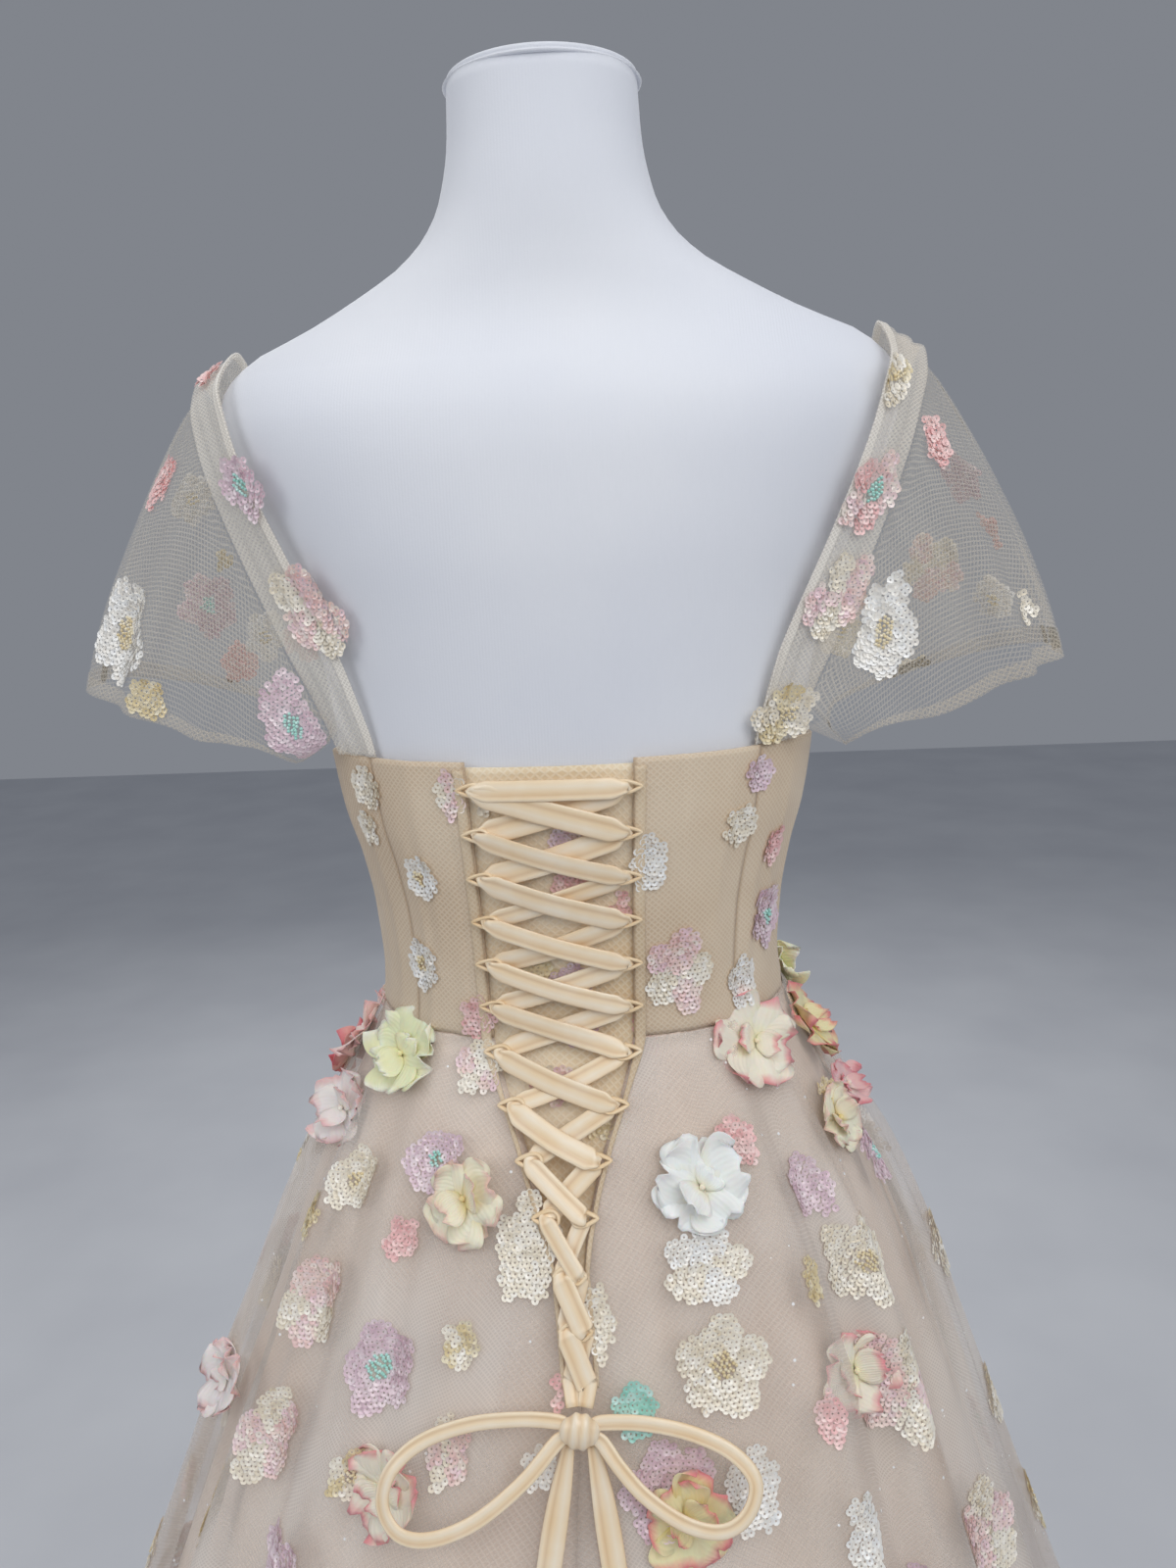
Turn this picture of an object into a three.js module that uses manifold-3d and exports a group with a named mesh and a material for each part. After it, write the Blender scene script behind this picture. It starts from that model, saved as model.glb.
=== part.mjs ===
// Off-the-shoulder ball gown with a laced back, standing on a limbless dress form.
// Millimetres, +Z up. The wearer faces -Y, so the laced back faces +Y and the wearer's left is +X.
// The origin is the centre of the stand's underside. Heights on the gown are "rises" above its waist seam.
import * as THREE from 'three';
import { mergeVertices } from 'three/addons/utils/BufferGeometryUtils.js';
import Module from 'manifold-3d';

// ---------- driving dimensions ----------
const waistHeight = 1020;        // waist seam above the floor
const seamGap = 0.3;             // between pieces that are sewn edge to edge
const clothGap = 0.4;            // between a cloth and what it lies on
const bodiceWall = 2.4;          // lining, boning and net together
const modestyWall = 1.2;
const liningWall = 1.2;
const netWall = 1.0;
const bodiceTop = 155;           // rise of the bodice's top edge at the back
const hemRise = -1003;           // net hem, 17 mm clear of the floor
const liningHemRise = -996;
const slitEnd = -155;            // rise where the laced slit closes and the bow sits
const foldCount = 20;            // soft folds round the skirt
const formTop = 498;             // rise of the neck, under its cap
const formBottom = -215;
const neckCap = { radius: 50.5, rim: 1.5, height: 3, setBack: 1 };
const poleRadius = 16;
const base = { radius: 165, height: 12, bevel: 3 };
const lace = { width: 12.5, narrow: 7.5, bunched: 3.4, thickness: 1.0, levels: 13, pitch: 24.3, firstRise: 141, endShare: 0.6 };
const laceHeights = { under: 1.4, turn: 3.1, over: 4.7 };   // of the ribbon's middle over the bodice
const ring = { reach: 5.6, tall: 4, cord: 0.8 };            // flat loops that the lace turns through
const tape = { width: 6, thickness: 2.0, lift: 0.8, nearest: 7.2 };
const bowRibbon = { width: 9, thickness: 2.4 };
const tailRibbon = { width: 14, tied: 6, thickness: 2.0, drop: 298 };
const knot = { x: 0, rise: -166, height: 8.5, halfWidth: 11, halfHeight: 9.2, halfDepth: 6.5 };

// ---------- the body form ----------
// rise above the waist, half width, depth of the back and of the front
const formSections = [
  { rise: -215, side: 150, back: 100, front: 100 },
  { rise: -200, side: 157, back: 106, front: 106 },
  { rise: -160, side: 157, back: 110, front: 110 },
  { rise: -100, side: 145, back: 106, front: 104 },
  { rise: -50, side: 130, back: 96, front: 93 },
  { rise: 0, side: 118, back: 86, front: 84 },
  { rise: 14, side: 115.6, back: 85.2, front: 84.8 },
  { rise: 30, side: 114.4, back: 85, front: 87 },
  { rise: 60, side: 116, back: 86, front: 96 },
  { rise: 90, side: 121.5, back: 88.5, front: 108 },
  { rise: 120, side: 130, back: 91, front: 118 },
  { rise: 151, side: 134.5, back: 92.5, front: 119 },
  { rise: 185, side: 137.5, back: 94.5, front: 112 },
  { rise: 225, side: 146, back: 97, front: 104 },
  { rise: 265, side: 161.5, back: 99, front: 97 },
  { rise: 305, side: 179, back: 97.5, front: 88 },
  { rise: 330, side: 186, back: 92, front: 78 },
  { rise: 347, side: 184, back: 81, front: 68 },
  { rise: 364, side: 170, back: 62, front: 56 },
  { rise: 380, side: 136, back: 53, front: 50 },
  { rise: 395, side: 107, back: 50, front: 49 },
  { rise: 409, side: 83, back: 50, front: 50 },
  { rise: 424, side: 67, back: 51, front: 52 },
  { rise: 440, side: 58, back: 51.5, front: 53 },
  { rise: 470, side: 51.5, back: 50, front: 52 },
  { rise: 498, side: 50, back: 49, front: 51 },
];
const waistSection = formSections.find(({ rise }) => rise === 0);
// how far the skirt's net stands out from the waist at each drop, how far the lining lies inside it,
// how deep the folds run, and how far the skirt swings to the wearer's left
const skirtSections = [
  { drop: 0, spread: 0, layerGap: 1.4, fold: 0, swing: 0 },
  { drop: 18, spread: 9, layerGap: 3.5, fold: 1.2, swing: 0 },
  { drop: 54, spread: 29, layerGap: 7, fold: 4.5, swing: 0 },
  { drop: 105, spread: 58, layerGap: 11, fold: 7, swing: 0 },
  { drop: 155, spread: 79, layerGap: 13, fold: 8.5, swing: 0 },
  { drop: 230, spread: 108, layerGap: 14, fold: 10.5, swing: 4 },
  { drop: 320, spread: 141, layerGap: 14, fold: 12, swing: 8 },
  { drop: 500, spread: 207, layerGap: 15, fold: 14.5, swing: 13 },
  { drop: 750, spread: 303, layerGap: 16.5, fold: 18, swing: 16 },
  { drop: 1005, spread: 405, layerGap: 19, fold: 21, swing: 18 },
];
// half the width of the laced opening
const openingSections = [
  { drop: -160, half: 43.5 },
  { drop: -75, half: 40 },
  { drop: 0, half: 38 },
  { drop: 18, half: 34 },
  { drop: 54, half: 21 },
  { drop: 105, half: 6.5 },
  { drop: 155, half: 0.4 },
];
// the gown sits a little turned on the form, so its laced opening lies to the wearer's left down to the hips
const laceShift = { x: 6.5, from: -155, to: -60 };
const degree = Math.PI / 180;
const seams = { back: 46 * degree, side: 90 * degree, princess: 143 * degree };
const cup = { angle: 152 * degree, spread: 20 * degree, rise: 124, tall: 34, depth: 6.5, shell: 2.5 };

// ---------- small maths ----------
const lerp = (a, b, t) => a + (b - a) * t;
const clamp01 = (t) => Math.min(1, Math.max(0, t));
const smooth = (from, to, value) => {
  const t = clamp01((value - from) / (to - from));
  return t * t * (3 - 2 * t);
};
const bell = (value, middle, width) => Math.exp(-(((value - middle) / width) ** 2));

// value of one column of a section table, by a monotone cubic through its rows
function column(rows, key, name, at) {
  const last = rows.length - 1;
  if (at <= rows[0][key]) return rows[0][name];
  if (at >= rows[last][key]) return rows[last][name];
  let row = 0;
  while (at > rows[row + 1][key]) row += 1;
  const slope = (i) => (rows[i + 1][name] - rows[i][name]) / (rows[i + 1][key] - rows[i][key]);
  const bend = (i) => {
    if (i === 0 || i === last) return slope(Math.min(i, last - 1));
    const [before, after] = [slope(i - 1), slope(i)];
    return before * after <= 0 ? 0 : 2 * before * after / (before + after);
  };
  const [low, high] = [rows[row], rows[row + 1]];
  const span = high[key] - low[key];
  const t = (at - low[key]) / span;
  return low[name] * (1 + 2 * t) * (1 - t) ** 2 + bend(row) * span * t * (1 - t) ** 2
    + high[name] * t * t * (3 - 2 * t) + bend(row + 1) * span * t * t * (t - 1);
}

// ---------- the surfaces that all pieces share ----------
// angle 0 is the centre back, 90 degrees the wearer's left side, 180 degrees the centre front
const roundness = 2.25;

function ovalPoint(angle, side, back, front, rise) {
  const [s, c] = [Math.sin(angle), Math.cos(angle)];
  const power = 2 / roundness;
  return new THREE.Vector3(
    side * Math.sign(s) * Math.abs(s) ** power,
    (c > 0 ? back : front) * Math.sign(c) * Math.abs(c) ** power,
    waistHeight + rise);
}

const angleAt = (x, side) => Math.sign(x) * Math.asin(clamp01(Math.abs(x) / side) ** (roundness / 2));

function formPoint(angle, rise, offset = 0, cupDepth = cup.depth) {
  const turn = Math.abs(Math.atan2(Math.sin(angle), Math.cos(angle)));
  const bust = cupDepth * bell(turn, cup.angle, cup.spread) * bell(rise, cup.rise, cup.tall);
  return ovalPoint(angle,
    column(formSections, 'rise', 'side', rise) + offset,
    column(formSections, 'rise', 'back', rise) + offset,
    column(formSections, 'rise', 'front', rise) + offset + bust, rise);
}

// the modesty panel lies under the back, so the cloth over it is lifted
const overModesty = (angle) => (modestyWall + clothGap) * (1 - smooth(34 * degree, 48 * degree, Math.abs(angle)));
const ease = (rise) => smooth(0, 60, rise);
const bodiceOffset = (angle, rise) => clothGap + bodiceWall + overModesty(angle) + ease(rise);

const bodicePoint = (angle, rise, height = 0) => formPoint(angle, rise, bodiceOffset(angle, rise) + height,
  cup.depth + cup.shell);

// uneven soft folds, still at the centre back where the lace and its tails lie
function foldWave(angle, drop) {
  const turn = Math.abs(Math.atan2(Math.sin(angle), Math.cos(angle)));
  const uneven = angle + 0.05 * Math.sin(3 * angle + 0.6) + 0.03 * Math.sin(7 * angle);
  const wave = 0.75 * Math.cos(foldCount * uneven) + 0.25 * Math.cos((foldCount - 7) * uneven + 1.1);
  const lowStill = smooth(9 * degree, 20 * degree, turn);
  const highStill = smooth(21 * degree, 33 * degree, turn);
  return wave * lerp(highStill, lowStill, smooth(215, 320, drop));
}

// outer face of the skirt's net; its front spreads a little less than its back
const frontShare = 0.95;

function netPoint(angle, rise, height = 0) {
  const drop = -rise;
  const spread = column(skirtSections, 'drop', 'spread', drop);
  const fold = column(skirtSections, 'drop', 'fold', drop) * foldWave(angle, drop);
  const off = clothGap + liningWall + clothGap + netWall + overModesty(angle) * (1 - smooth(0, 160, drop));
  const reach = off + spread + fold + height;
  const point = ovalPoint(angle, waistSection.side + reach, waistSection.back + reach,
    waistSection.front + off + frontShare * spread + fold + height, rise);
  point.x += column(skirtSections, 'drop', 'swing', drop);
  return point;
}

// outer face of the lining: the same folds, shallower
const liningFoldLoss = 0.45;

function liningPoint(angle, rise, height = 0) {
  const drop = -rise;
  const inside = column(skirtSections, 'drop', 'layerGap', drop);
  const fold = column(skirtSections, 'drop', 'fold', drop) * foldWave(angle, drop);
  return netPoint(angle, rise, height - inside - liningFoldLoss * fold);
}

// outer face of the whole gown
const gownPoint = (angle, rise, height = 0) => (rise >= 0 ? bodicePoint : netPoint)(angle, rise, height);

function gownSide(rise) {
  return (gownPoint(seams.side, rise).x - gownPoint(-seams.side, rise).x) / 2;
}

const openingHalf = (rise) => column(openingSections, 'drop', 'half', -rise);
const laceCentre = (rise) => laceShift.x * smooth(laceShift.from, laceShift.to, rise);

// the angle of one edge of the laced opening, or of a line outside that edge
function openingAngle(sign, rise, extra = 0) {
  return angleAt(laceCentre(rise) + sign * (openingHalf(rise) + extra), gownSide(rise));
}

function normalOf(surface, angle, rise) {
  const across = surface(angle + 0.01, rise).sub(surface(angle - 0.01, rise));
  const up = surface(angle, rise + 1).sub(surface(angle, rise - 1));
  return up.cross(across).normalize();
}

// ---------- mesh helpers ----------
function meshOf(positions, triangles) {
  const geometry = new THREE.BufferGeometry();
  geometry.setAttribute('position', new THREE.Float32BufferAttribute(positions.flatMap((p) => [p.x, p.y, p.z]), 3));
  geometry.setIndex(triangles.flat());
  return geometry;
}

// a closed wall between an outer and an inner grid of points; both are read as [row][column]
function wallOf(outer, inner, { round = false } = {}) {
  const [rows, columns] = [outer.length, outer[0].length];
  const points = [...outer.flat(), ...inner.flat()];
  const out = (r, c) => r * columns + (c % columns);
  const ins = (r, c) => rows * columns + out(r, c);
  const faces = [];
  const quad = (a, b, c, d) => faces.push([a, b, c], [a, c, d]);
  const steps = round ? columns : columns - 1;
  for (let c = 0; c < steps; c += 1) {
    for (let r = 0; r < rows - 1; r += 1) {
      quad(out(r, c), out(r, c + 1), out(r + 1, c + 1), out(r + 1, c));
      quad(ins(r, c), ins(r + 1, c), ins(r + 1, c + 1), ins(r, c + 1));
    }
    quad(out(0, c), ins(0, c), ins(0, c + 1), out(0, c + 1));
    quad(out(rows - 1, c), out(rows - 1, c + 1), ins(rows - 1, c + 1), ins(rows - 1, c));
  }
  if (!round) {
    for (let r = 0; r < rows - 1; r += 1) {
      quad(out(r, 0), out(r + 1, 0), ins(r + 1, 0), ins(r, 0));
      quad(out(r, columns - 1), ins(r, columns - 1), ins(r + 1, columns - 1), out(r + 1, columns - 1));
    }
  }
  return facingOut(meshOf(points, faces));
}

// turns a closed geometry so that its volume is positive
function facingOut(geometry) {
  const [p, index] = [geometry.attributes.position, geometry.index.array];
  const [a, b, c] = [new THREE.Vector3(), new THREE.Vector3(), new THREE.Vector3()];
  let volume = 0;
  for (let i = 0; i < index.length; i += 3) {
    a.fromBufferAttribute(p, index[i]);
    b.fromBufferAttribute(p, index[i + 1]);
    c.fromBufferAttribute(p, index[i + 2]);
    volume += a.dot(b.cross(c));
  }
  if (volume < 0) {
    for (let i = 0; i < index.length; i += 3) [index[i], index[i + 1]] = [index[i + 1], index[i]];
  }
  return geometry;
}

// a sewn panel: a wall whose outer face lies on a surface, between two edge angles and two edge rises
function panelOn(surface, wall, { left, right, bottom, top, columns, rises }) {
  const [outer, inner] = [[], []];
  for (const share of rises) {
    const [outerRow, innerRow] = [[], []];
    for (let c = 0; c <= columns; c += 1) {
      const angleNear = (rise) => lerp(left(rise), right(rise), c / columns);
      const nearAngle = angleNear(lerp(bottom(0), top(0), share));
      const rise = lerp(bottom(nearAngle), top(nearAngle), share);
      outerRow.push(surface(angleNear(rise), rise));
      innerRow.push(surface(angleNear(rise), rise, -wall));
    }
    outer.push(outerRow);
    inner.push(innerRow);
  }
  return wallOf(outer, inner);
}

// a flat strip swept along a path: each stop has a point, a normal, a width and a thickness
function stripAlong(stops) {
  const sections = stops.map((stop, i) => {
    const before = stops[Math.max(0, i - 1)].point;
    const after = stops[Math.min(stops.length - 1, i + 1)].point;
    const along = after.clone().sub(before).normalize();
    const across = new THREE.Vector3().crossVectors(along, stop.normal).normalize().multiplyScalar(stop.width / 2);
    const up = new THREE.Vector3().crossVectors(across, along).normalize().multiplyScalar(stop.thickness / 2);
    return [[-1, -1], [1, -1], [1, 1], [-1, 1]].map(([a, u]) => stop.point.clone()
      .addScaledVector(across, a).addScaledVector(up, u));
  });
  const faces = [[0, 1, 2], [0, 2, 3]];
  const last = 4 * (sections.length - 1);
  faces.push([last, last + 2, last + 1], [last, last + 3, last + 2]);
  for (let s = 0; s < sections.length - 1; s += 1) {
    for (let k = 0; k < 4; k += 1) {
      const [a, b] = [4 * s + k, 4 * s + (k + 1) % 4];
      faces.push([a, a + 4, b + 4], [a, b + 4, b]);
    }
  }
  return facingOut(meshOf(sections.flat(), faces));
}

// ---------- joining with manifold-3d ----------
const wasm = await Module();
wasm.setup();

function solidOf(geometry) {
  const bare = geometry.clone();
  bare.deleteAttribute('normal');
  bare.deleteAttribute('uv');
  const merged = mergeVertices(bare, 1e-4);
  return new wasm.Manifold(new wasm.Mesh({
    numProp: 3,
    vertProperties: new Float32Array(merged.attributes.position.array),
    triVerts: new Uint32Array(merged.index.array),
  }));
}

function joined(geometries) {
  const mesh = geometries.map(solidOf).reduce((all, one) => all.add(one)).getMesh();
  const geometry = new THREE.BufferGeometry();
  geometry.setAttribute('position', new THREE.BufferAttribute(new Float32Array(mesh.vertProperties), 3));
  geometry.setIndex(new THREE.BufferAttribute(new Uint32Array(mesh.triVerts), 1));
  return geometry;
}

// ---------- finishes ----------
const finish = (color, roughness, metalness = 0) => new THREE.MeshStandardMaterial({ color, roughness, metalness });
const finishes = {
  jersey: finish(0xdce0ea, 0.85),
  steel: finish(0xb9bcc2, 0.35, 0.9),
  plate: finish(0xe6e7ea, 0.5),
  bodice: finish(0xeedcc4, 0.7),
  modesty: finish(0xf0dcc4, 0.75),
  lining: finish(0xdccabb, 0.6),
  net: finish(0xf1e6d6, 0.8),
  satin: finish(0xf6e2c0, 0.3),
};

const gown = new THREE.Group();

function addPiece(name, geometry, material) {
  const mesh = new THREE.Mesh(geometry, material);
  mesh.name = name;
  gown.add(mesh);
  return mesh;
}

// ---------- dress form and stand ----------
function torso() {
  const sides = 28;
  const rows = formSections.map(({ rise }) => Array.from({ length: sides },
    (_, i) => formPoint(2 * Math.PI * i / sides, rise)));
  const points = [...rows.flat(), new THREE.Vector3(0, 0, waistHeight + formBottom),
    new THREE.Vector3(0, 0, waistHeight + formTop)];
  const faces = [];
  const at = (r, i) => r * sides + (i % sides);
  for (let i = 0; i < sides; i += 1) {
    for (let r = 0; r < rows.length - 1; r += 1) {
      faces.push([at(r, i), at(r, i + 1), at(r + 1, i + 1)], [at(r, i), at(r + 1, i + 1), at(r + 1, i)]);
    }
    faces.push([points.length - 2, at(0, i + 1), at(0, i)]);
    faces.push([points.length - 1, at(rows.length - 1, i), at(rows.length - 1, i + 1)]);
  }
  return facingOut(meshOf(points, faces));
}

// a turned solid about the stand's axis, from a profile of radius and height
function turned(profile, sides) {
  const geometry = new THREE.LatheGeometry(profile.map(([r, z]) => new THREE.Vector2(r, z)), sides);
  return geometry.rotateX(Math.PI / 2);
}

function addForm() {
  addPiece('form_torso', torso(), finishes.jersey);
  const { radius: capRadius, rim, height: capHeight, setBack } = neckCap;
  const cap = turned([[0, 0], [capRadius - rim, 0], [capRadius, 1], [capRadius, capHeight - 1],
    [capRadius - rim, capHeight], [0, capHeight]], 28);
  addPiece('form_neck_cap', cap.translate(0, -setBack, waistHeight + formTop + seamGap), finishes.jersey);
  const poleTop = waistHeight + formBottom - seamGap;
  const poleBottom = base.height + seamGap;
  addPiece('form_pole', turned([[0, poleBottom], [poleRadius, poleBottom], [poleRadius, poleTop], [0, poleTop]], 20),
    finishes.steel);
  const { radius, height, bevel } = base;
  addPiece('form_base', turned([[0, 0], [radius, 0], [radius, height - bevel], [radius - bevel, height], [0, height]], 32),
    finishes.plate);
}

// ---------- bodice ----------
// a gentle sweetheart line in front, straight at the sides and back
function bodiceTopRise(angle) {
  const turn = Math.abs(Math.atan2(Math.sin(angle), Math.cos(angle)));
  return bodiceTop - 5 * smooth(60 * degree, 95 * degree, turn) + 22 * bell(turn, 148 * degree, 24 * degree)
    - 10 * bell(turn, 180 * degree, 9 * degree);
}

function bodicePanel(left, right, columns) {
  const rises = [0, 0.12, 0.26, 0.42, 0.58, 0.74, 0.88, 1];
  return panelOn(bodicePoint, bodiceWall,
    { left, right, bottom: () => seamGap / 2, top: bodiceTopRise, columns, rises });
}

function addBodice() {
  const seamHalf = (rise) => seamGap / 2 / gownSide(rise);
  for (const [name, sign] of [['left', 1], ['right', -1]]) {
    const at = (angle, shift) => (rise) => sign * (angle + shift * seamHalf(rise));
    const opening = (rise) => openingAngle(sign, rise);
    addPiece(`bodice_back_${name}`, bodicePanel(opening, at(seams.back, -1), 5), finishes.bodice);
    addPiece(`bodice_side_back_${name}`, bodicePanel(at(seams.back, 1), at(seams.side, -1), 6), finishes.bodice);
    addPiece(`bodice_front_side_${name}`, bodicePanel(at(seams.side, 1), at(seams.princess, -1), 7), finishes.bodice);
  }
  const princess = (rise) => seams.princess + seamHalf(rise);
  addPiece('bodice_front_centre', bodicePanel(princess, (rise) => 2 * Math.PI - princess(rise), 10), finishes.bodice);
}

// the panel behind the lace: over the form above the waist, under the skirt's lining below it
const underlap = { low: 9, high: 19 };   // how far it runs on behind the opening's edges
const chordSlack = 0.15;                 // keeps its flat faces off the lining's

function addModestyPanel() {
  const surface = (angle, rise, height = 0) => {
    const above = formPoint(angle, rise, clothGap + modestyWall + ease(rise) + height);
    const below = liningPoint(angle, rise, height - liningWall - clothGap - chordSlack);
    return rise >= 0 ? above : below;
  };
  const edge = (sign) => (rise) => openingAngle(sign, rise, lerp(underlap.low, underlap.high, smooth(slitEnd, 60, rise)));
  const [bottom, top] = [slitEnd - 10, bodiceTop - 8];
  const rises = [bottom, slitEnd, -105, -54, -18, 0, 14, 30, 60, 90, 120, top].map((r) => (r - bottom) / (top - bottom));
  const edges = { left: edge(-1), right: edge(1), bottom: () => bottom, top: () => top };
  addPiece('modesty_panel', panelOn(surface, modestyWall, { ...edges, columns: 6, rises }), finishes.modesty);
}

// ---------- skirt ----------
// one layer, cut into back panels that meet the laced opening and whatever panels close the front
function addSkirtLayer(layer, { surface, wall, hem, drops, backColumns, frontPanels, material }) {
  const rises = drops.map((drop) => 1 - drop / -hem).reverse();
  const seamHalf = (rise) => seamGap / 2 / gownSide(rise);
  const edges = { bottom: () => hem, top: () => -seamGap / 2, rises };
  for (const [name, sign] of [['left', 1], ['right', -1]]) {
    const left = (rise) => openingAngle(sign, rise) + sign * seamHalf(rise);
    const right = (rise) => sign * (seams.side - seamHalf(rise));
    addPiece(`${layer}_back_${name}`, panelOn(surface, wall, { ...edges, left, right, columns: backColumns }), material);
  }
  for (const { name, from, to, columns } of frontPanels) {
    const left = (rise) => from + seamHalf(rise);
    const right = (rise) => to - seamHalf(rise);
    addPiece(`${layer}_${name}`, panelOn(surface, wall, { ...edges, left, right, columns }), material);
  }
}

function addSkirt() {
  const { side, princess } = seams;
  const round = 2 * Math.PI;
  addSkirtLayer('skirt_lining', {
    surface: liningPoint, wall: liningWall, hem: liningHemRise, material: finishes.lining,
    drops: [0, 18, 54, 105, 155, 320, 620, -liningHemRise], backColumns: 15,
    frontPanels: [
      { name: 'side_left', from: side, to: princess, columns: 9 },
      { name: 'front', from: princess, to: round - princess, columns: 12 },
      { name: 'side_right', from: round - princess, to: round - side, columns: 9 },
    ],
  });
  addSkirtLayer('skirt_net', {
    surface: netPoint, wall: netWall, hem: hemRise, material: finishes.net,
    drops: [0, 18, 54, 105, 155, 230, 340, 520, 760, -hemRise], backColumns: 22,
    frontPanels: [{ name: 'front', from: side, to: round - side, columns: 44 }],
  });
}

// ---------- shoulder bands and sleeves ----------
// the band's two edges from the bodice's back, over the shoulder, to its front; over the shoulder
// the outer edge falls below the inner one
const bandRows = [
  { rise: 156, innerX: 99, innerY: 70, outerX: 122, outerY: 58, fall: 0 },
  { rise: 186, innerX: 108, innerY: 70, outerX: 134, outerY: 58, fall: 0 },
  { rise: 214, innerX: 118, innerY: 69, outerX: 147, outerY: 58, fall: 0 },
  { rise: 264, innerX: 141, innerY: 66, outerX: 168, outerY: 54, fall: 0 },
  { rise: 304, innerX: 158, innerY: 64, outerX: 182, outerY: 50, fall: 1 },
  { rise: 332, innerX: 168, innerY: 56, outerX: 190, outerY: 38, fall: 5 },
  { rise: 353, innerX: 175, innerY: 38, outerX: 196, outerY: 22, fall: 10 },
  { rise: 371, innerX: 175, innerY: 0, outerX: 199, outerY: -2, fall: 14 },
  { rise: 353, innerX: 176, innerY: -32, outerX: 196, outerY: -24, fall: 10 },
  { rise: 332, innerX: 170, innerY: -50, outerX: 190, outerY: -42, fall: 5 },
  { rise: 300, innerX: 158, innerY: -64, outerX: 182, outerY: -56, fall: 1 },
  { rise: 258, innerX: 138, innerY: -78, outerX: 168, outerY: -66, fall: 0 },
  { rise: 212, innerX: 118, innerY: -88, outerX: 149, outerY: -74, fall: 0 },
  { rise: 176, innerX: 104, innerY: -94, outerX: 134, outerY: -76, fall: 0 },
];
const pleat = { count: 3, depth: 1.3 };
const band = { half: 0.8, clearance: 2.4 };

// pushes a point out of the form along its section until it clears it
function clearOfForm(point, clearance) {
  const rise = point.z - waistHeight;
  const side = column(formSections, 'rise', 'side', rise) + clearance;
  const depth = column(formSections, 'rise', point.y > 0 ? 'back' : 'front', rise) + clearance;
  const level = (Math.abs(point.x) / side) ** roundness + (Math.abs(point.y) / depth) ** roundness;
  const grow = level < 1 ? level ** (-1 / roundness) : 1;
  return new THREE.Vector3(point.x * grow, point.y * grow, point.z);
}

function bandSection(row) {
  const inner = new THREE.Vector3(row.innerX, row.innerY, waistHeight + row.rise);
  const outer = new THREE.Vector3(row.outerX, row.outerY, waistHeight + row.rise - row.fall);
  return [inner, outer];
}

function shoulderBand() {
  const across = 2 * pleat.count;
  const grids = { outer: [], inner: [] };
  bandRows.forEach((row, i) => {
    const [inside, outside] = bandSection(row);
    const before = bandSection(bandRows[Math.max(0, i - 1)])[0];
    const after = bandSection(bandRows[Math.min(bandRows.length - 1, i + 1)])[0];
    const along = after.clone().sub(before).normalize();
    const out = new THREE.Vector3().crossVectors(outside.clone().sub(inside), along).normalize();
    const [outerRow, innerRow] = [[], []];
    for (let c = 0; c <= across; c += 1) {
      const middle = clearOfForm(inside.clone().lerp(outside, c / across), band.clearance);
      const ridge = c % 2 ? pleat.depth : 0;
      outerRow.push(middle.clone().addScaledVector(out, ridge + band.half));
      innerRow.push(middle.clone().addScaledVector(out, ridge - band.half));
    }
    grids.outer.push(outerRow);
    grids.inner.push(innerRow);
  });
  return wallOf(grids.outer, grids.inner);
}

// the sleeve's seam round the arm and its open cuff, point for point
const sleeveRows = [
  { seam: [199.4, 0, 351.6], cuff: [276, 0, 194] },
  { seam: [196.8, 24, 340], cuff: [268, 32, 192] },
  { seam: [191, 40, 325], cuff: [250, 50, 186] },
  { seam: [183.2, 51.6, 302], cuff: [224, 60, 177] },
  { seam: [168.6, 55.6, 262], cuff: [196, 65, 167] },
  { seam: [147.8, 59.6, 212], cuff: [168, 66, 162] },
  { seam: [126, 64, 166], cuff: [152, 56, 152] },
  { seam: [142, 34, 162], cuff: [155, 28, 146] },
  { seam: [146, 0, 160], cuff: [157, -4, 144] },
  { seam: [142, -34, 162], cuff: [156, -36, 146] },
  { seam: [138, -76, 174], cuff: [164, -68, 154] },
  { seam: [150.6, -75.4, 212], cuff: [188, -76, 164] },
  { seam: [169.4, -67.2, 258], cuff: [216, -70, 174] },
  { seam: [183.4, -57, 300], cuff: [242, -56, 184] },
  { seam: [191.4, -43, 326], cuff: [262, -36, 191] },
  { seam: [197, -25, 341], cuff: [273, -18, 194] },
];
const sleeve = { rows: 7, bulge: 9, fullLength: 190, armX: 185, armY: -2 };

function sleeveShell() {
  const ringAt = (v, inset) => sleeveRows.map(({ seam, cuff }) => {
    const [start, end] = [new THREE.Vector3(...seam), new THREE.Vector3(...cuff)];
    const point = start.clone().lerp(end, v);
    const away = new THREE.Vector3(point.x - sleeve.armX, point.y - sleeve.armY, 0).normalize();
    const bulge = sleeve.bulge * start.distanceTo(end) / sleeve.fullLength * 4 * v * (1 - v);
    return point.addScaledVector(away, bulge - inset).add(new THREE.Vector3(0, 0, waistHeight));
  });
  const steps = Array.from({ length: sleeve.rows }, (_, i) => i / (sleeve.rows - 1));
  return wallOf(steps.map((v) => ringAt(v, 0)), steps.map((v) => ringAt(v, netWall)), { round: true });
}

function mirrored(geometry) {
  return facingOut(geometry.clone().scale(-1, 1, 1));
}

function addShoulders() {
  const [folded, shell] = [shoulderBand(), sleeveShell()];
  addPiece('shoulder_band_left', folded, finishes.net);
  addPiece('shoulder_band_right', mirrored(folded), finishes.net);
  addPiece('sleeve_left', shell, finishes.net);
  addPiece('sleeve_right', mirrored(shell), finishes.net);
}

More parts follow.
